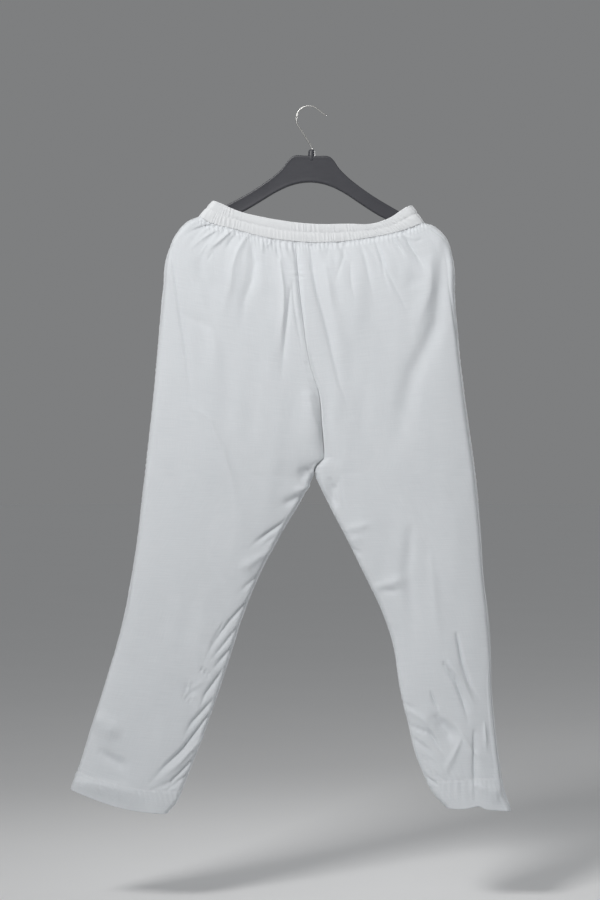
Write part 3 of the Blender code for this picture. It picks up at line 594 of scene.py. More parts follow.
class Half:
    """One half of the trousers: the smooth outline of its body and leg.

    An angle runs from the half's inner end round the front to its outer end at pi, and on round the
    back. Above the crotch a half's closed outline reaches into the other half, and its panels start
    where the centre seam cuts it.
    """

    def __init__(self, name):
        self.name = name
        self.sign = -1 if name == "left" else 1
        legs = LEGS[name]
        drops = column(BODY, "drop") + column(legs, "drop")
        leg_drops = drops[len(BODY) - 1:]
        inner_leg_x = [BODY[-1].seam_x + self.sign * SEAM_GAP / 2] + column(legs, "inner_x")
        self.inner_leg_x = Smooth(leg_drops, inner_leg_x)
        self.inner_leg_z = Smooth(leg_drops, [BODY[-1].seam_z] + column(legs, "inner_z"))
        self.outer_x = Smooth(drops, column(BODY, f"{name}_x") + column(legs, "outer_x"))
        self.outer_z = Smooth(drops, column(BODY, f"{name}_z") + column(legs, "outer_z"))
        self.half_depth = Smooth(drops, column(BODY, "half_depth") + column(legs, "half_depth"))
        self.fold_radius = Smooth(drops, column(BODY, "fold_radius") + column(legs, "fold_radius"))
        self.other = None

    def inner_x(self, drop):
        in_body = seam_x(drop) + self.sign * SEAM_GAP / 2
        return np.where(drop < CROTCH_DROP, in_body, self.inner_leg_x(drop))

    def inner_z(self, drop):
        return np.where(drop < CROTCH_DROP, seam_z(drop), self.inner_leg_z(drop))

    def width(self, drop):
        return np.abs(self.outer_x(drop) - self.inner_x(drop))

    def cut(self, drop):
        """The share of the closed outline that lies beyond the centre seam."""
        reach = np.maximum(0.0, overlap_at(drop)) * self.other.width(drop)
        return np.where(drop >= CROTCH_DROP, 0.0, reach / (reach + self.width(drop)))

    def share_out(self, drop, angle):
        """The share of the way from the centre seam or the inner leg to the side."""
        cut = self.cut(drop)
        return ((1 - np.cos(angle)) / 2 - cut) / (1 - cut)

    def plain_depth(self, drop, across):
        radius = self.fold_radius(drop)
        from_end = self.width(drop) / (1 - self.cut(drop)) * np.minimum(across, 1 - across)
        bow = 2 * np.sqrt(np.maximum(0, across * (1 - across)))
        return fold_round(radius, from_end) + (self.half_depth(drop) - radius) * bow

    def point(self, drop, angle):
        """Points of the outline."""
        drop, angle = np.broadcast_arrays(np.asarray(drop, float), np.asarray(angle, float))
        cut = self.cut(drop)
        share = self.share_out(drop, angle)
        x = mix(self.inner_x(drop), self.outer_x(drop), share)
        z = mix(self.inner_z(drop), self.outer_z(drop), share)
        z = z + self.waist_sag(share) * (1 - ease(0, WAIST_SAG_DROP, drop))
        z = z - HEM_SAG[self.name] * np.sin(PI * share) * ease(HEM_SAG_START_DROP, HEM_EDGE_DROP, drop)
        here = self.plain_depth(drop, cut)
        there = self.other.plain_depth(drop, self.other.cut(drop))
        met = 1 + ((here + there) / 2 / np.maximum(here, 1e-6) - 1) * (1 - share) ** 2
        depth = self.plain_depth(drop, (1 - np.cos(angle)) / 2) * np.where(cut > 0, met, 1.0)
        depth = np.maximum(depth, SEAM_GAP / 2)
        return np.stack([x, np.where(np.sin(angle) >= 0, -depth, depth), z], axis=-1)

    def waist_sag(self, share):
        """How far the waistband's lower edge lies from a straight line across the half."""
        x = mix(self.inner_x(0), self.outer_x(0), share)
        line = mix(self.inner_z(0), self.outer_z(0), share)
        return band_low_z((x - BAND_FIRST.low_x) / BAND_LOW_WIDTH) - line

    def normal(self, drop, angle):
        """The outward direction: level at the waistband, and in the seam's own plane at the centre."""
        round_step = self.point(drop, angle + PROBE_ANGLE) - self.point(drop, angle - PROBE_ANGLE)
        down_step = self.point(drop + PROBE_DROP, angle) - self.point(drop - PROBE_DROP, angle)
        true = unit(np.cross(round_step, down_step)) * -self.sign
        flat = np.stack([-round_step[..., 1], round_step[..., 0], 0 * round_step[..., 0]], axis=-1)
        level = unit(flat) * -self.sign
        out = unit(mix(level, true, ease(0, LEVEL_DROP, drop)[..., None]))
        keep = ease(0, SEAM_MARGIN, self.share_out(drop, angle))
        out[..., 0] *= mix(keep, 1.0, ease(CROTCH_DROP - 14, CROTCH_DROP + 6, drop))
        return unit(out)

    def grid(self, face, drops):
        """Angles of a panel's columns on each row, closer together where the outline bends."""
        start = np.arccos(1 - 2 * self.cut(drops))
        steps = np.arange(OUTLINE_STEPS + 1) / OUTLINE_STEPS
        angles = mix(start[:, None], 2 * PI - start[:, None], steps[None, :])
        step = np.diff(self.point(drops[:, None], angles), axis=1)
        lengths = np.linalg.norm(step, axis=-1)
        turn = np.sum(unit(step[:, 1:]) * unit(step[:, :-1]), axis=-1)
        first = np.zeros((len(drops), 1))
        bend = np.concatenate([first, np.arccos(np.clip(turn, -1, 1))], axis=1)
        spacing = lengths + BEND_LENGTH * np.minimum(bend, SHARPEST_BEND)
        run = np.concatenate([first, np.cumsum(lengths, axis=1)], axis=1)
        spread = np.concatenate([first, np.cumsum(spacing, axis=1)], axis=1)
        forward = SLIT_FORWARD[self.name] * ease(SLIT_TOP_DROP - 5, SLIT_TOP_DROP + 50, drops)
        side_seam = run[:, OUTLINE_STEPS // 2] - SIDE_SEAM_FORWARD - forward
        gap = SEAM_GAP / 2 + SLIT_OPENING[self.name] / 2 * ease(SLIT_TOP_DROP, HEM_EDGE_DROP, drops)
        share = np.arange(PANEL_COLUMNS + 1) / PANEL_COLUMNS
        found = []
        for i in range(len(drops)):
            side = side_seam[i] - gap[i] if face == "front" else side_seam[i] + gap[i]
            inner = 0.0 if face == "front" else spread[i, -1]
            at = mix(inner, np.interp(side, run[i], spread[i]), share)
            found.append(np.interp(at, spread[i], angles[i]))
        return np.array(found)


def beside_line(line, x, z):
    """Each place's distance from a line, its side and the share of the line's length at which it lies.

    For a line that runs downwards the side is from -1 on the right to 1 on the left.
    """
    steps = np.diff(line, axis=0)
    lengths = np.linalg.norm(steps, axis=1)
    starts = np.concatenate([[0], np.cumsum(lengths)])
    nearest = np.full(x.shape, 1e9)
    side = np.zeros_like(x)
    along = np.zeros_like(x)
    for (line_x, line_z), (run_x, run_z), length, start in zip(line[:-1], steps, lengths, starts):
        from_x, from_z = x - line_x, z - line_z
        share = np.clip((from_x * run_x + from_z * run_z) / length**2, 0, 1)
        away = np.hypot(from_x - share * run_x, from_z - share * run_z)
        leftward = (from_x * run_z - from_z * run_x) / (length * np.maximum(away, 0.01))
        closer = away < nearest
        nearest = np.where(closer, away, nearest)
        side = np.where(closer, leftward, side)
        along = np.where(closer, start + share * length, along)
    return nearest, np.clip(side, -1, 1), along / starts[-1]


def crease_depth(creases, x, z):
    """The sum of the creases at each place on the front or the back."""
    total = np.zeros_like(x)
    for crease in creases:
        line = np.array(crease.line, float)
        reach = 3 * max(crease.left_width, crease.right_width)
        low, high = line.min(axis=0) - reach, line.max(axis=0) + reach
        near = (x > low[0]) & (x < high[0]) & (z > low[1]) & (z < high[1])
        if not near.any():
            continue
        away, side, share = beside_line(line, x[near], z[near])
        width = mix(crease.right_width, crease.left_width, (1 + side) / 2) * mix(*CREASE_WIDENING, share)
        deepens = mix(CREASE_START_DEPTH, 1.0, ease(0, 0.25, share))
        fades = mix(1.0, CREASE_END_DEPTH, ease(0.55, 1.0, share))
        power = mix(NARROW_CREASE_POWER, WIDE_CREASE_POWER, ease(NARROW_CREASE, WIDE_CREASE, width))
        total[near] += crease.depth * deepens * fades * hump(away, width, power)
    return total


def gathers(share, drop, width, seed):
    """The gathers below the waistband: troughs of uneven depth, length and lean."""
    rng = np.random.RandomState(seed)
    total = 0 * share
    for i in range(GATHER_COUNT):
        at = (i + 0.5 + rng.uniform(-0.34, 0.34)) / GATHER_COUNT
        depth = rng.uniform(1.0, 3.0)
        length = rng.uniform(40, 170)
        lean = rng.uniform(-0.035, 0.035)
        breadth = rng.uniform(2.4, 4.2)
        away = (share - at - lean * drop / 100) * width
        fade = 1 - ease(0.1 * length, length, drop)
        total = total - depth * fade * hump(away, breadth + 0.05 * drop)
    return total


def puckers(along, pitch, seed):
    """A ripple along a seam, from -1 to 1, of uneven pitch and height."""
    warp = 0.9 * lattice_noise(along, 0, 4.5 * pitch, 1, seed)
    height = 0.65 + 0.35 * lattice_noise(along, 7.3, 3.1 * pitch, 1, seed + 1)
    return height * np.sin(2 * PI * (along / pitch + warp))


def seam_row(z, name):
    return np.interp(z, column(SEAM_ROWS, "z"), column(SEAM_ROWS, name))


def hanging_form(face, drop, across, width, x, z, seed):
    """How far fullness, gathers, creases and soft swells stand the cloth out."""
    fullness = FULLNESS * ease(0, 13, drop) * (1 - ease(*FULLNESS_END_DROPS, drop))
    gathered = GATHER_STRENGTH[face] * ease(0, 10, drop) * gathers(across / width, drop, width, seed)
    creased = ease(0, 7, drop) * crease_depth(CREASES[face], x, z)
    swollen = np.zeros_like(x)
    for i, swell in enumerate(SWELLS):
        noise = lattice_noise(x + swell.lean * z, z, swell.breadth, swell.length, seed + 11 + i)
        swollen += swell.height * noise
    return fullness + gathered + creased + ease(10, 60, drop) * swollen


def waist_form(drop, across, seed):
    """The fine puckers that the elastic draws up right below the waistband."""
    reach = 26 + 10 * lattice_noise(across, 0, 30, 1, seed + 5)
    fine = puckers(across, WAIST_PUCKER_PITCH, seed + 3) * (1 - ease(3, reach, drop))
    return WAIST_PUCKER * fine * ease(0, 3, drop) + WAIST_EDGE_RISE * (1 - ease(0, 4, drop))


def seam_form(half, face, drop, across, from_side, z, seed):
    """How far the cloth turns back at its seams, puckers beside them and rises along the slit."""
    back = SEAM_TUCK * (1 - 0.5 * ease(CROTCH_DROP - 10, CROTCH_DROP + 20, drop))
    turn, power = SEAM_TUCK_WIDTH, 2
    if face == "front":
        back = seam_row(z, f"{half.name}_back")
        turn, power = seam_row(z, f"{half.name}_turn"), SEAM_TURN_POWER
    in_slit = ease(SLIT_TOP_DROP - 6, SLIT_TOP_DROP + 10, drop)
    turned = back * hump(across, turn, power)
    turned += SIDE_TUCK * hump(from_side, SEAM_TUCK_WIDTH) * (1 - in_slit)
    near_seam = hump(across - 5, 7) * ease(0, 3, across)
    near_side = hump(from_side - 4, 6) * ease(0, 3, from_side)
    pulled = SEAM_PUCKER * near_seam * puckers(drop, SEAM_PUCKER_PITCH, 101)
    pulled += SIDE_PUCKER * near_side * puckers(drop, SIDE_PUCKER_PITCH, seed + 21)
    slit_edge = SLIT_EDGE_RISE * in_slit * ease(7.5, 6.0, from_side)
    return pulled * ease(20, 60, drop) + slit_edge - turned


def hem_form(drop, across, calm, seed):
    """The turned-up hem, the groove of its stitching and the slanting ripples that it pulls in."""
    turned = ease(HEM_DROP - 0.8, HEM_DROP + 0.8, drop)
    roping = puckers(across + HEM_ROPING_SLANT * (drop - HEM_DROP), HEM_PUCKER_PITCH, seed + 31)
    roping = roping * ease(HEM_EDGE_DROP, HEM_DROP + 8, drop) * calm
    patchy = ease(-0.2, 0.7, lattice_noise(across, 0, 26, 1, seed + 35))
    above = hump(drop - HEM_DROP + 5, 6) * patchy * puckers(across, HEM_PUCKER_PITCH, seed + 33) * calm
    groove = HEM_GROOVE * hump(drop - HEM_DROP, 1.3)
    return turned * (HEM_RISE + HEM_ROPING * roping) + HEM_PUCKER * above - groove


def hem_lift(x, drop):
    """How far the right front's hem is lifted about its middle."""
    lift = hump(x - HEM_LIFT_X, np.where(x < HEM_LIFT_X, *HEM_LIFT_WIDTHS))
    return HEM_LIFT * lift * ease(HEM_DROP - 15, HEM_EDGE_DROP, drop)


def panel_form(half, face, drops, seed):
    """A panel's base points, outward directions, how far the cloth stands out and lengths across."""
    angle = half.grid(face, drops)
    drop = np.broadcast_to(drops[:, None], angle.shape)
    base = half.point(drop, angle)
    out = half.normal(drop, angle)
    steps = np.linalg.norm(np.diff(base, axis=1), axis=-1)
    across = np.concatenate([np.zeros((len(drops), 1)), np.cumsum(steps, axis=1)], axis=1)
    width = across[:, -1:]
    from_side = width - across
    x, z = base[..., 0].copy(), base[..., 2].copy()

    calm = ease(0, 6, across) * ease(0, 8, from_side)
    out_by = calm * hanging_form(face, drop, across, width, x, z, seed)
    out_by += waist_form(drop, across, seed)
    out_by += seam_form(half, face, drop, across, from_side, z, seed)
    out_by += hem_form(drop, across, calm, seed)
    if face == "front":
        base[..., 0] += seam_row(z, "pull") * hump(across, SEAM_PULL_REACH)
    if face == "front" and half.name == "right":
        base[..., 2] += hem_lift(x, drop)
    return base, out, out_by, across


def grid_faces(rows, columns, wrap=False):
    """Quads of a grid of points, whose columns may close into a ring."""
    i, j = np.meshgrid(np.arange(rows - 1), np.arange(columns if wrap else columns - 1), indexing="ij")
    here, right = i * columns + j, i * columns + (j + 1) % columns
    return np.stack([here, right, right + columns, here + columns], -1).reshape(-1, 4)


def add_mesh(name, points, quads, uv=None):
    """A smooth mesh object from points in millimetres and four-sided faces."""
    mesh = bpy.data.meshes.new(name)
    points = np.asarray(points, float).reshape(-1, 3) * MM
    quads = np.asarray(quads)
    mesh.vertices.add(len(points))
    mesh.vertices.foreach_set("co", points.ravel())
    mesh.loops.add(quads.size)
    mesh.loops.foreach_set("vertex_index", quads.ravel())
    mesh.polygons.add(len(quads))
    mesh.polygons.foreach_set("loop_start", np.arange(0, quads.size, 4))
    mesh.polygons.foreach_set("loop_total", np.full(len(quads), 4))
    if uv is not None:
        layer = mesh.uv_layers.new(name="cloth")
        layer.data.foreach_set("uv", (np.asarray(uv).reshape(-1, 2) * MM)[quads.ravel()].ravel())
    mesh.update(calc_edges=True)
    mesh.validate()
    mesh.shade_smooth()
    made = bpy.data.objects.new(name, mesh)
    bpy.context.scene.collection.objects.link(made)
    return made


def row_drops():
    """The drops of the panels' rows, which end at the hem's edge."""
    found = np.concatenate([np.arange(*run) for run in ROW_RUNS])
    found[-1] = HEM_EDGE_DROP
    return found[found <= HEM_EDGE_DROP]


def make_panel(half, face, seed):
    """One panel as a closed wall of cloth, thicker at its hem."""
    drops = row_drops()
    base, out, out_by, across = panel_form(half, face, drops, seed)
    base[0, :, 2] += BAND_OVERLAP
    wall = mix(CLOTH_WALL, HEM_WALL, ease(HEM_DROP - 0.5, HEM_DROP + 0.9, drops))[:, None]
    outer = base + out * out_by[..., None]
    inner = base + out * (out_by - wall)[..., None]
    rows, columns = outer.shape[:2]
    total = rows * columns
    index = np.arange(total).reshape(rows, columns)
    skin = grid_faces(rows, columns)
    rims = [
        np.stack([edge[:-1], edge[:-1] + total, edge[1:] + total, edge[1:]], -1)
        for edge in (index[0], index[-1][::-1], index[::-1, 0], index[:, -1])
    ]
    quads = np.concatenate([skin, skin[:, ::-1] + total, *rims])
    if half.sign * (1 if face == "front" else -1) > 0:
        quads = quads[:, ::-1]
    drop = np.broadcast_to(drops[:, None], across.shape)
    uv = np.stack([across, drop], axis=-1)
    made = add_mesh(f"{face}_{half.name}_cloth", np.stack([outer, inner]), quads, np.stack([uv, uv]))
    return made, outer, out


def band_point(angle, height):
    """Points of the waistband's smooth ring. The angle runs from its left end round the front."""
    share = (1 - np.cos(angle)) / 2
    x = mix(mix(BAND_FIRST.low_x, BAND_LAST.low_x, share), band_top_x(share), height)
    z = mix(band_low_z(share), band_top_z(share), height)
    radius = mix(BAND_LOW_FOLD_RADIUS, BAND_TOP_FOLD_RADIUS, height)
    half_depth = mix(BAND_LOW_HALF_DEPTH, BAND_TOP_HALF_DEPTH, height)
    from_end = mix(BAND_LOW_WIDTH, BAND_TOP_WIDTH, height) * np.minimum(share, 1 - share)
    depth = fold_round(radius, from_end) + (half_depth - radius) * np.abs(np.sin(angle))
    return np.stack([x, np.where(np.sin(angle) >= 0, -depth, depth), z], axis=-1)


def band_normal(angle, height):
    """The outward direction of the waistband: level at its lower edge."""
    round_step = band_point(angle + PROBE_ANGLE, height) - band_point(angle - PROBE_ANGLE, height)
    rise = band_point(angle, height + 0.02) - band_point(angle, height - 0.02)
    true = unit(np.cross(round_step, rise))
    level = unit(np.stack([round_step[..., 1], -round_step[..., 0], 0 * round_step[..., 0]], axis=-1))
    return unit(mix(level, true, ease(0, 0.2, height)[..., None]))


def band_angles(count):
    """Angles that share the ring's length equally among the columns, and that length."""
    angles = 2 * PI * np.arange(4 * OUTLINE_STEPS + 1) / (4 * OUTLINE_STEPS)
    points = band_point(angles, np.zeros_like(angles))
    run = np.concatenate([[0], np.cumsum(np.linalg.norm(np.diff(points, axis=0), axis=1))])
    return np.interp(run[-1] * np.arange(count) / count, run, angles), run[-1]


def ring_noise(turn, height, size, seed):
    """Smooth noise round the waistband, in bumps of about the given size, that meets itself."""
    u = BAND_NOISE_RADIUS * np.cos(2 * PI * turn)
    v = BAND_NOISE_RADIUS * np.sin(2 * PI * turn) + 40.0 * height
    return lattice_noise(u, v, size, size, seed)


def band_stand_out(height, turn):
    """How far the casing's face stands out: two stitched channels, rippled by the elastic."""
    lower = height < BAND_MIDDLE
    low_end, high_end = np.where(lower, 0.0, BAND_MIDDLE), np.where(lower, BAND_MIDDLE, 1.0)
    t = np.clip((height - low_end) / (high_end - low_end), 0, 1)
    bulge = (4 * t * (1 - t)) ** 0.6
    upper = ease(BAND_MIDDLE - 0.03, BAND_MIDDLE + 0.05, height)
    warp = 0.75 * ring_noise(turn, 0, 13, 301) + 0.4 * ring_noise(turn, 0, 6, 302)
    lean = (0.5 + 0.7 * ring_noise(turn, 0, 24, 303)) * (height - BAND_MIDDLE)
    phase = 2 * PI * (BAND_GATHERS * turn + warp + lean + upper * (0.4 + ring_noise(turn, 0, 17, 304)))
    patches = mix(ring_noise(turn, 0, 27, 305), ring_noise(turn, 0, 22, 306), upper)
    gathered = np.maximum(ease(-0.5, 0.7, patches), hump(turn - STRONG_RIPPLE_TURN, 0.05))
    strength = mix(CALMEST_RIPPLE, STRONGEST_RIPPLE, gathered) * mix(0.25, 0.8, bulge)
    ripple = strength * (0.5 * np.cos(phase) + 0.12 * np.cos(2 * phase + 1))
    drape = 0.35 * ring_noise(turn, height, 16, 307)
    return 0.6 + 0.85 * bulge + ripple + bulge * drape


def casing_face(angle, turn):
    """The outside of the casing, from its lower edge up."""
    heights = np.concatenate([np.linspace(0, BAND_MIDDLE, 13), np.linspace(BAND_MIDDLE, 1, 12)[1:]])
    height, around = np.meshgrid(heights, angle, indexing="ij")
    stand_out = band_stand_out(height, np.broadcast_to(turn, height.shape))
    face = band_point(around, height) + band_normal(around, height) * stand_out[..., None]
    face[0, :, 2] += BAND_EDGE_WAVE * ring_noise(turn, 0, 6, 308)
    return face


def casing_fold(top, angle):
    """The rounded fold over the elastic, from the top of the outside to the inside."""
    inward = -band_normal(angle, np.full(len(angle), 0.98)) * BAND_THICKNESS / 2
    upward = np.array([0, 0, 0.7 * BAND_THICKNESS / 2])
    turns = [math.radians(turn_deg) for turn_deg in BAND_FOLD_TURNS_DEG]
    return np.stack([top + inward * (1 - math.cos(turn)) + upward * math.sin(turn) for turn in turns])


def casing_inside(angle, turn):
    """The inside of the casing, from the fold down, with a weaker ripple."""
    rings = []
    for share in BAND_INSIDE_HEIGHTS:
        height = np.full(len(angle), share)
        stand_out = BAND_INSIDE_RIPPLE * (band_stand_out(height, turn) - 1.2) - 2.0
        rings.append(band_point(angle, height) + band_normal(angle, height) * stand_out[:, None])
    return np.stack(rings)


def make_waistband():
    """The casing as one ring: its outside, the fold over the elastic and its inside."""
    columns = BAND_GATHERS * BAND_COLUMNS_PER_GATHER
    angle, length = band_angles(columns)
    turn = np.arange(columns) / columns
    face = casing_face(angle, turn)
    rings = np.concatenate([face, casing_fold(face[-1], angle), casing_inside(angle, turn)])
    rows = len(rings)
    here = np.arange(columns)
    after = (here + 1) % columns
    last = (rows - 1) * columns
    closing = np.stack([last + here, last + after, after, here], -1)
    quads = np.concatenate([grid_faces(rows, columns, wrap=True), closing])
    down, along = np.meshgrid(np.linspace(0, 70, rows), length * turn, indexing="ij")
    made = add_mesh("waistband_casing", rings, quads, np.stack([along, down], -1))
    return made, face, angle


def add_stitches(name, places, directions, outs):
    """Stitches as small rounded bars, joined into one mesh."""
    places, directions, outs = (np.asarray(given, float) for given in (places, directions, outs))
    directions, outs = unit(directions), unit(outs)
    sides = unit(np.cross(directions, outs))
    points = []
    for along, size in STITCH_RINGS:
        middle = places + directions * along * STITCH_LENGTH
        middle = middle - outs * STITCH_RADIUS * (1.6 if abs(along) == 0.5 else 0.0)
        radius = STITCH_RADIUS * size
        for angle in np.arange(STITCH_SIDES) * 2 * PI / STITCH_SIDES:
            across = sides * math.cos(angle) * radius * STITCH_BREADTH
            points.append(middle + across + outs * math.sin(angle) * radius)
    one = len(points)
    near_end, far_end = [[0, 3, 2, 1], [0, 5, 4, 3]], [[0, 1, 2, 3], [0, 3, 4, 5]]
    ends = np.concatenate([near_end, np.array(far_end) + one - STITCH_SIDES])
    shape = np.concatenate([grid_faces(len(STITCH_RINGS), STITCH_SIDES, wrap=True), ends])
    quads = (np.arange(len(places))[:, None, None] * one + shape[None]).reshape(-1, 4)
    return add_mesh(name, np.stack(points, axis=1), quads)


def line_stitches(points, outs, lift):
    """Places, directions and outward sides of stitches at an even pitch along a line of points."""
    steps = np.linalg.norm(np.diff(points, axis=0), axis=1)
    run = np.concatenate([[0], np.cumsum(steps)])
    at = np.arange(STITCH_PITCH / 2, run[-1], STITCH_PITCH)
    places, ahead, out = (
        np.stack([np.interp(where, run, given[:, k]) for k in range(3)], -1)
        for where, given in ((at, points), (at + 0.5, points), (at, outs))
    )
    out = unit(out)
    return places + out * lift, ahead - places, out


def join_lines(lines):
    return [np.concatenate([line[k] for line in lines]) for k in range(3)]


def hanger_edges():
    """The top edge and the underside of the bar, as matching runs from its left tip to its right."""
    out = column(HANGER_SECTIONS, "out")
    at = np.concatenate([np.arange(0, 24, 4), np.arange(24, 60, 2), np.arange(60, 181, 5)])
    middle = np.array([HANGER_ARM_REACH - HANGER_END_RADIUS, HANGER_END_Z])
    edges = []
    for name, side in (("top_z", 1), ("under_z", -1)):
        arm = np.stack([at, Smooth(out, column(HANGER_SECTIONS, name))(at)], -1)
        turn = side * np.linspace(PI / 2, 0, 12) - math.radians(HANGER_ARM_SLOPE_DEG)
        arc = middle + HANGER_END_RADIUS * np.stack([np.cos(turn), np.sin(turn)], -1)
        run = np.concatenate([arm, arc])
        edges.append(np.concatenate([run[:0:-1] * (-1, 1), run]))
    return edges


def lean_hanger(points):
    """Leans points about the collar's top and sets them on the hanger's middle."""
    lean = math.radians(HANGER_TILT_DEG)
    x, z = points[:, 0], points[:, 2] - COLLAR_TOP_Z
    turned_x = x * math.cos(lean) + z * math.sin(lean)
    turned_z = -x * math.sin(lean) + z * math.cos(lean)
    return np.stack([turned_x + HANGER_CENTRE_X, points[:, 1], turned_z + COLLAR_TOP_Z], -1)


def make_hanger():
    """The moulded bar: flat faces between a rounded top edge and a rounded underside."""
    upper, lower = hanger_edges()
    length = np.linalg.norm(upper - lower, axis=1)
    half_depth = HANGER_THICKNESS / 2 * np.minimum(1, length / 6) ** 0.5

    def lines(side):
        """Lines along one face of the bar, from its top edge to its underside."""
        found = []
        for from_under in (False, True):
            for edge in BAR_EDGE[::-1] if from_under else BAR_EDGE:
                share = np.minimum(edge.inset / np.maximum(length, 1e-3), 0.5)
                share = 1 - share if from_under else share
                place = mix(upper, lower, share[:, None])
                found.append(np.stack([place[:, 0], side * half_depth * edge.depth, place[:, 1]], -1))
        return found

    rings = np.stack(lines(-1) + lines(1)[-2:0:-1], axis=1)
    quads = grid_faces(len(rings), rings.shape[1], wrap=True)
    return add_mesh("hanger_bar", lean_hanger(rings.reshape(-1, 3)), quads)


def make_collar():
    """The rounded collar that holds the hook, and the rib that runs from it down the bar's faces."""
    around = np.arange(COLLAR_SIDES) * 2 * PI / COLLAR_SIDES
    circle = np.stack([np.cos(around), np.sin(around), 0 * around], -1)
    rings = [step.radius * circle + (0, 0, COLLAR_TOP_Z + step.z) for step in COLLAR_STEPS]
    quads = grid_faces(len(rings), COLLAR_SIDES, wrap=True)[:, ::-1]
    return add_mesh("hanger_collar", lean_hanger(np.concatenate(rings)), quads)


def hook_path():
    """The hook wire's middle line: a straight end, an arc over the top, a leaning shank and a bend."""
    centre_z = HOOK_WIRE_RADIUS - HOOK_RADIUS
    end_angle, lean = math.radians(HOOK_END_ANGLE_DEG), math.radians(HOOK_LEAN_DEG)

    def on_arc(angle):
        return Vector((HOOK_RADIUS * math.sin(angle), 0, centre_z + HOOK_RADIUS * math.cos(angle)))

    def in_collar(rise):
        return Vector((HANGER_CENTRE_X, 0, COLLAR_TOP_Z + rise))

    first = on_arc(end_angle)
    tip = first + Vector((math.cos(end_angle), 0, -math.sin(end_angle))) * HOOK_END_LENGTH
    path = [tip.lerp(first, i / 6) for i in range(6)]
    sweep = end_angle + PI / 2 + lean
    path += [on_arc(end_angle - sweep * i / 48) for i in range(49)]
    corner, bend_end = in_collar(HOOK_CORNER_RISE), in_collar(HOOK_BEND_RISE)
    bend_start = corner + Vector((-math.sin(lean), 0, math.cos(lean))) * HOOK_BEND_LENGTH
    leaving = path[-1]
    path += [leaving.lerp(bend_start, i / 8) for i in range(1, 9)]
    for i in range(1, 11):
        t = i / 10
        path.append(bend_start.lerp(corner, t).lerp(corner.lerp(bend_end, t), t))
    path.append(in_collar(SEAM_GAP - HOOK_SOCKET_DEPTH))
    return np.array([tuple(place) for place in path])


def make_hook():
    """The wire as a tube, with its free end rounded."""
    path = hook_path()
    ahead = unit(path[0] - path[1]) * HOOK_WIRE_RADIUS
    path = np.concatenate([[path[0] + ahead * 0.9, path[0] + ahead * 0.55], path])
    sizes = np.concatenate([[0.05, 0.8], np.ones(len(path) - 2)]) * HOOK_WIRE_RADIUS
    sideways = np.array([0.0, 1.0, 0.0])
    rises = unit(np.cross(unit(np.gradient(path, axis=0)), sideways))
    around = np.arange(HOOK_WIRE_SIDES)[:, None] * 2 * PI / HOOK_WIRE_SIDES
    rings = [
        place + size * (np.cos(around) * sideways + np.sin(around) * rise)
        for place, size, rise in zip(path, sizes, rises)
    ]
    quads = grid_faces(len(rings), HOOK_WIRE_SIDES, wrap=True)[:, ::-1]
    return add_mesh("hook_wire", np.concatenate(rings), quads)


class Value:
    """A socket of a material. Python's operators on it add Math nodes."""

    def __init__(self, socket):
        self.socket = socket

    def math(self, operation, *given):
        tree = self.socket.id_data
        made = tree.nodes.new("ShaderNodeMath")
        made.operation = operation
        for slot, value in zip(made.inputs, given):
            if isinstance(value, Value):
                tree.links.new(value.socket, slot)
            else:
                slot.default_value = value
        return Value(made.outputs[0])

    def __add__(self, other):
        return self.math("ADD", self, other)

    def __sub__(self, other):
        return self.math("SUBTRACT", self, other)

    def __rsub__(self, other):
        return self.math("SUBTRACT", other, self)

    def __mul__(self, other):
        return self.math("MULTIPLY", self, other)

    __radd__, __rmul__ = __add__, __mul__

    def sine(self):
        return self.math("SINE", self)

    def at_least(self, lowest):
        return self.math("MAXIMUM", self, lowest)


class Material:
    """A material built from nodes, with the shader's plain values set on its own sockets."""

    def __init__(self, name, **plain):
        self.made = bpy.data.materials.new(name)
        self.made.use_nodes = True
        self.tree = self.made.node_tree
        self.shader = self.tree.nodes["Principled BSDF"]
        for key, value in plain.items():
            self.shader.inputs[key.replace("_", " ")].default_value = value

    def node(self, kind, output=0, settings=(), **values):
        """Any other node. A key such as i6 is a socket's number, and any other key is its name."""
        made = self.tree.nodes.new(kind)
        for key, value in dict(settings).items():
            setattr(made, key, value)
        for key, value in values.items():
            numbered = key[0] == "i" and key[1:].isdigit()
            slot = made.inputs[int(key[1:]) if numbered else key.replace("_", " ")]
            if isinstance(value, Value):
                self.tree.links.new(value.socket, slot)
            else:
                slot.default_value = value
        return Value(made.outputs[output])

    def place(self):
        return self.node("ShaderNodeTexCoord", 3)

    def noise(self, source, scale, detail=2.0):
        stretched = self.node("ShaderNodeVectorMath", 0, {"operation": "MULTIPLY"}, i0=source, i1=scale)
        return self.node("ShaderNodeTexNoise", 0, Vector=stretched, Scale=1.0, Detail=detail)

    def blend(self, factor, colours):
        ends = {"i6": (*colours["dark"], 1), "i7": (*colours["light"], 1)}
        return self.node("ShaderNodeMix", 2, {"data_type": "RGBA"}, i0=factor, **ends)

    def bump(self, height, strength, distance):
        return self.node("ShaderNodeBump", 0, Height=height, Strength=strength, Distance=distance)

    def set(self, **sockets):
        for key, value in sockets.items():
            self.tree.links.new(value.socket, self.shader.inputs[key.replace("_", " ")])


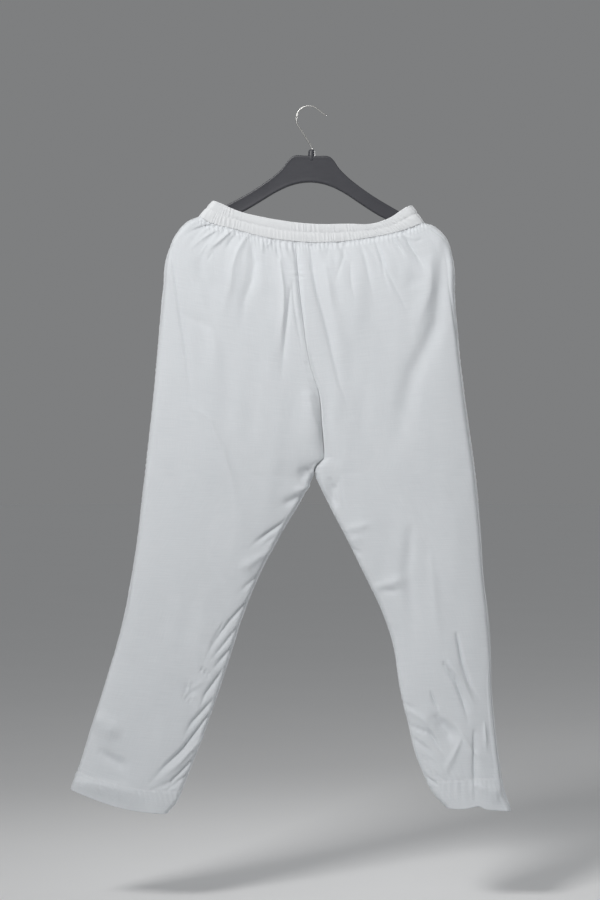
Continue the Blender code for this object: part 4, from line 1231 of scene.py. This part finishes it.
def cloth_material(name, colours, slub_strength):
    """White slubbed cloth: a plain weave with thicker threads here and there."""
    cloth = Material(name, Sheen_Weight=0.25, Sheen_Roughness=0.55, Specular_IOR_Level=0.25)
    place = cloth.node("ShaderNodeUVMap", 0, {"uv_map": "cloth"})
    across = cloth.node("ShaderNodeSeparateXYZ", 0, Vector=place)
    down = cloth.node("ShaderNodeSeparateXYZ", 1, Vector=place)
    wander = cloth.noise(place, (60, 60, 1)) * THREAD_WANDER
    warp = (across * THREAD_RATE + wander).sine()
    weft = (down * THREAD_RATE + wander).sine()
    slub_across = cloth.noise(place, (28, 900, 1), 3.0)
    slub_down = cloth.noise(place, (1100, 34, 1), 3.0)
    slub = (slub_across - 0.5) * 1.1 + (slub_down - 0.5) * 0.8
    patches = cloth.noise(place, (14, 9, 1))
    shade = slub * slub_strength + (patches - 0.5) * 0.35 + 0.5
    cloth.set(Base_Color=cloth.blend(shade.at_least(0.0), colours))
    cloth.set(Roughness=0.86 - slub * 0.08)
    cloth.set(Normal=cloth.bump(warp * weft * 0.5 + slub * 1.6, 0.35, BUMP_DEPTH_M))
    return cloth.made


def plastic_material():
    """Charcoal moulded plastic with a satin face and faint scuffs."""
    shine = {"Specular_IOR_Level": 0.5, "Coat_Weight": 0.15, "Coat_Roughness": 0.35}
    plastic = Material("charcoal_plastic_look", **shine)
    place = plastic.place()
    grain = plastic.noise(place, (900, 900, 900))
    scuff = plastic.noise(place, (60, 60, 260), 4.0)
    cloudy = plastic.noise(place, (18, 18, 18))
    plastic.set(Base_Color=plastic.blend(cloudy, PLASTIC_COLOURS))
    plastic.set(Roughness=0.36 + scuff * 0.16)
    plastic.set(Normal=plastic.bump(grain, 0.2, BUMP_DEPTH_M / 2))
    return plastic.made


def wire_material():
    """Bright plated wire with faint drawn lines."""
    wire = Material("bright_wire_look", Metallic=1.0)
    place = wire.place()
    drawn_lines = wire.noise(place, (300, 300, 60), 3.0)
    spots = wire.noise(place, (140, 140, 140), 3.0)
    wire.set(Base_Color=wire.blend(spots, WIRE_COLOURS))
    wire.set(Roughness=0.36 + drawn_lines * 0.12)
    return wire.made


def thread_material():
    """Spun white sewing thread."""
    thread = Material("white_thread", Sheen_Weight=0.2)
    ply = thread.noise(thread.place(), (1500, 1500, 1500), 1.0)
    thread.set(Base_Color=thread.blend(ply, THREAD_COLOURS))
    thread.set(Roughness=0.6 + ply * 0.2)
    return thread.made


def floor_material():
    """A pale studio floor."""
    pale = Material("pale_floor", Specular_IOR_Level=0.1)
    grain = pale.noise(pale.place(), (3, 3, 3))
    pale.set(Base_Color=pale.blend(grain, FLOOR_COLOURS))
    pale.set(Roughness=0.9 + grain * 0.05)
    return pale.made


def add_to_scene(name, data):
    made = bpy.data.objects.new(name, data)
    bpy.context.scene.collection.objects.link(made)
    return made


def make_camera():
    """A camera that sees the view height at the garment's distance."""
    seen = bpy.data.cameras.new("photo_view")
    seen.sensor_fit = "VERTICAL"
    seen.sensor_height = SENSOR
    seen.lens = SENSOR * VIEW_DISTANCE / VIEW_HEIGHT
    seen.clip_end = VIEW_END_M
    camera = add_to_scene("photo_view", seen)
    camera.location = (VIEW_CENTRE[0] * MM, -VIEW_DISTANCE * MM, VIEW_CENTRE[1] * MM)
    camera.rotation_euler = (PI / 2, 0, 0)
    bpy.context.scene.camera = camera


def make_floor():
    half = FLOOR_SIZE / 2
    corners = [(x * half, y * half, FLOOR_Z) for x, y in ((-1, -1), (1, -1), (1, 1), (-1, 1))]
    floor = add_mesh("floor", corners, [[0, 1, 2, 3]])
    floor.data.materials.append(floor_material())


def make_light(light):
    lamp = bpy.data.lights.new(light.name, "AREA")
    lamp.shape = "RECTANGLE"
    lamp.size, lamp.size_y = light.size
    lamp.energy = light.power
    lamp.spread = math.radians(light.spread_deg)
    lamp.color = light.colour
    made = add_to_scene(light.name, lamp)
    made.location = Vector(light.place)
    made.rotation_euler = (Vector(light.aim) - Vector(light.place)).to_track_quat("-Z", "Y").to_euler()


def make_studio():
    """The camera, the floor, the lights and a plain view transform."""
    make_camera()
    make_floor()
    scene = bpy.context.scene
    scene.world = bpy.data.worlds.new("studio")
    scene.world.use_nodes = True
    background = scene.world.node_tree.nodes["Background"]
    background.inputs["Color"].default_value = WORLD_COLOUR
    background.inputs["Strength"].default_value = WORLD_STRENGTH
    scene.view_settings.view_transform = "Standard"
    scene.view_settings.look = "None"
    scene.view_settings.exposure = 0.0
    scene.view_settings.gamma = 1.0
    for light in LIGHTS:
        make_light(light)
    sun = bpy.data.lights.new("sky_glow", "SUN")
    sun.energy = SUN_STRENGTH
    sun.angle = math.radians(SUN_BREADTH_DEG)
    glow = add_to_scene("sky_glow", sun)
    glow.rotation_euler = [math.radians(turn_deg) for turn_deg in SUN_TURN_DEG]


def dress(made, material, slot, *nodes):
    """Gives a new piece its material and its body, and hides the solids that it stands for; the slot is not
    used.
    """
    made.data.materials.clear()
    made.data.materials.append(material)
    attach(made, "root")
    if nodes:
        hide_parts(*nodes)
    return made


def dress_panel(half, face, seed, cloth, thread):
    """A panel of cloth, with stitches along its hem and beside its slit."""
    drops = row_drops()
    hem_row = int(np.argmin(np.abs(drops - HEM_DROP - 0.4)))
    slit_row = int(np.argmin(np.abs(drops - SLIT_TOP_DROP)))
    made, outer, out = make_panel(half, face, seed)
    panel = dress(made, cloth, "cloth", f"{face}_{half.name}")
    sewn_column = PANEL_COLUMNS - SEWN_COLUMNS_FROM_SLIT
    by_slit = slice(slit_row, hem_row), sewn_column
    hem = line_stitches(outer[hem_row], out[hem_row], 0.15)
    slit = line_stitches(outer[by_slit], out[by_slit], 0.15)
    sewn = add_stitches(f"{face}_{half.name}_stitches", *join_lines([hem, slit]))
    return panel, dress(sewn, thread, "cloth")


def dress_waistband(casing, thread):
    """The casing, with a row of stitches near each edge and one along its middle."""
    made, face, angle = make_waistband()
    band = dress(made, casing, "casing", "waistband")
    last_row = len(face) - 1
    rows = []
    for row in (1, last_row // 2 + 1, last_row - 1):
        outs = band_normal(angle, np.full(len(angle), row / last_row))
        closed = [np.concatenate([ring, ring[:1]]) for ring in (face[row], outs)]
        rows.append(line_stitches(*closed, 0.1))
    sewn = add_stitches("waistband_stitches", *join_lines(rows))
    return band, dress(sewn, thread, "casing")


def main():
    make_studio()
    cloth = cloth_material("slubbed_cloth", CLOTH_COLOURS, 0.6)
    casing = cloth_material("gathered_casing", CASING_COLOURS, 0.4)
    thread = thread_material()
    plastic = plastic_material()

    left, right = Half("left"), Half("right")
    left.other, right.other = right, left
    panels = []
    for half in (left, right):
        for face in ("front", "back"):
            seed = FIRST_PANEL_SEED + PANEL_SEED_STEP * len(panels)
            panels.append(dress_panel(half, face, seed, cloth, thread))
    band, band_sewn = dress_waistband(casing, thread)
    bar = dress(make_hanger(), plastic, "plastic", "hanger")
    dress(make_collar(), plastic, "plastic")
    dress(make_hook(), wire_material(), "steel", "hook")


main()
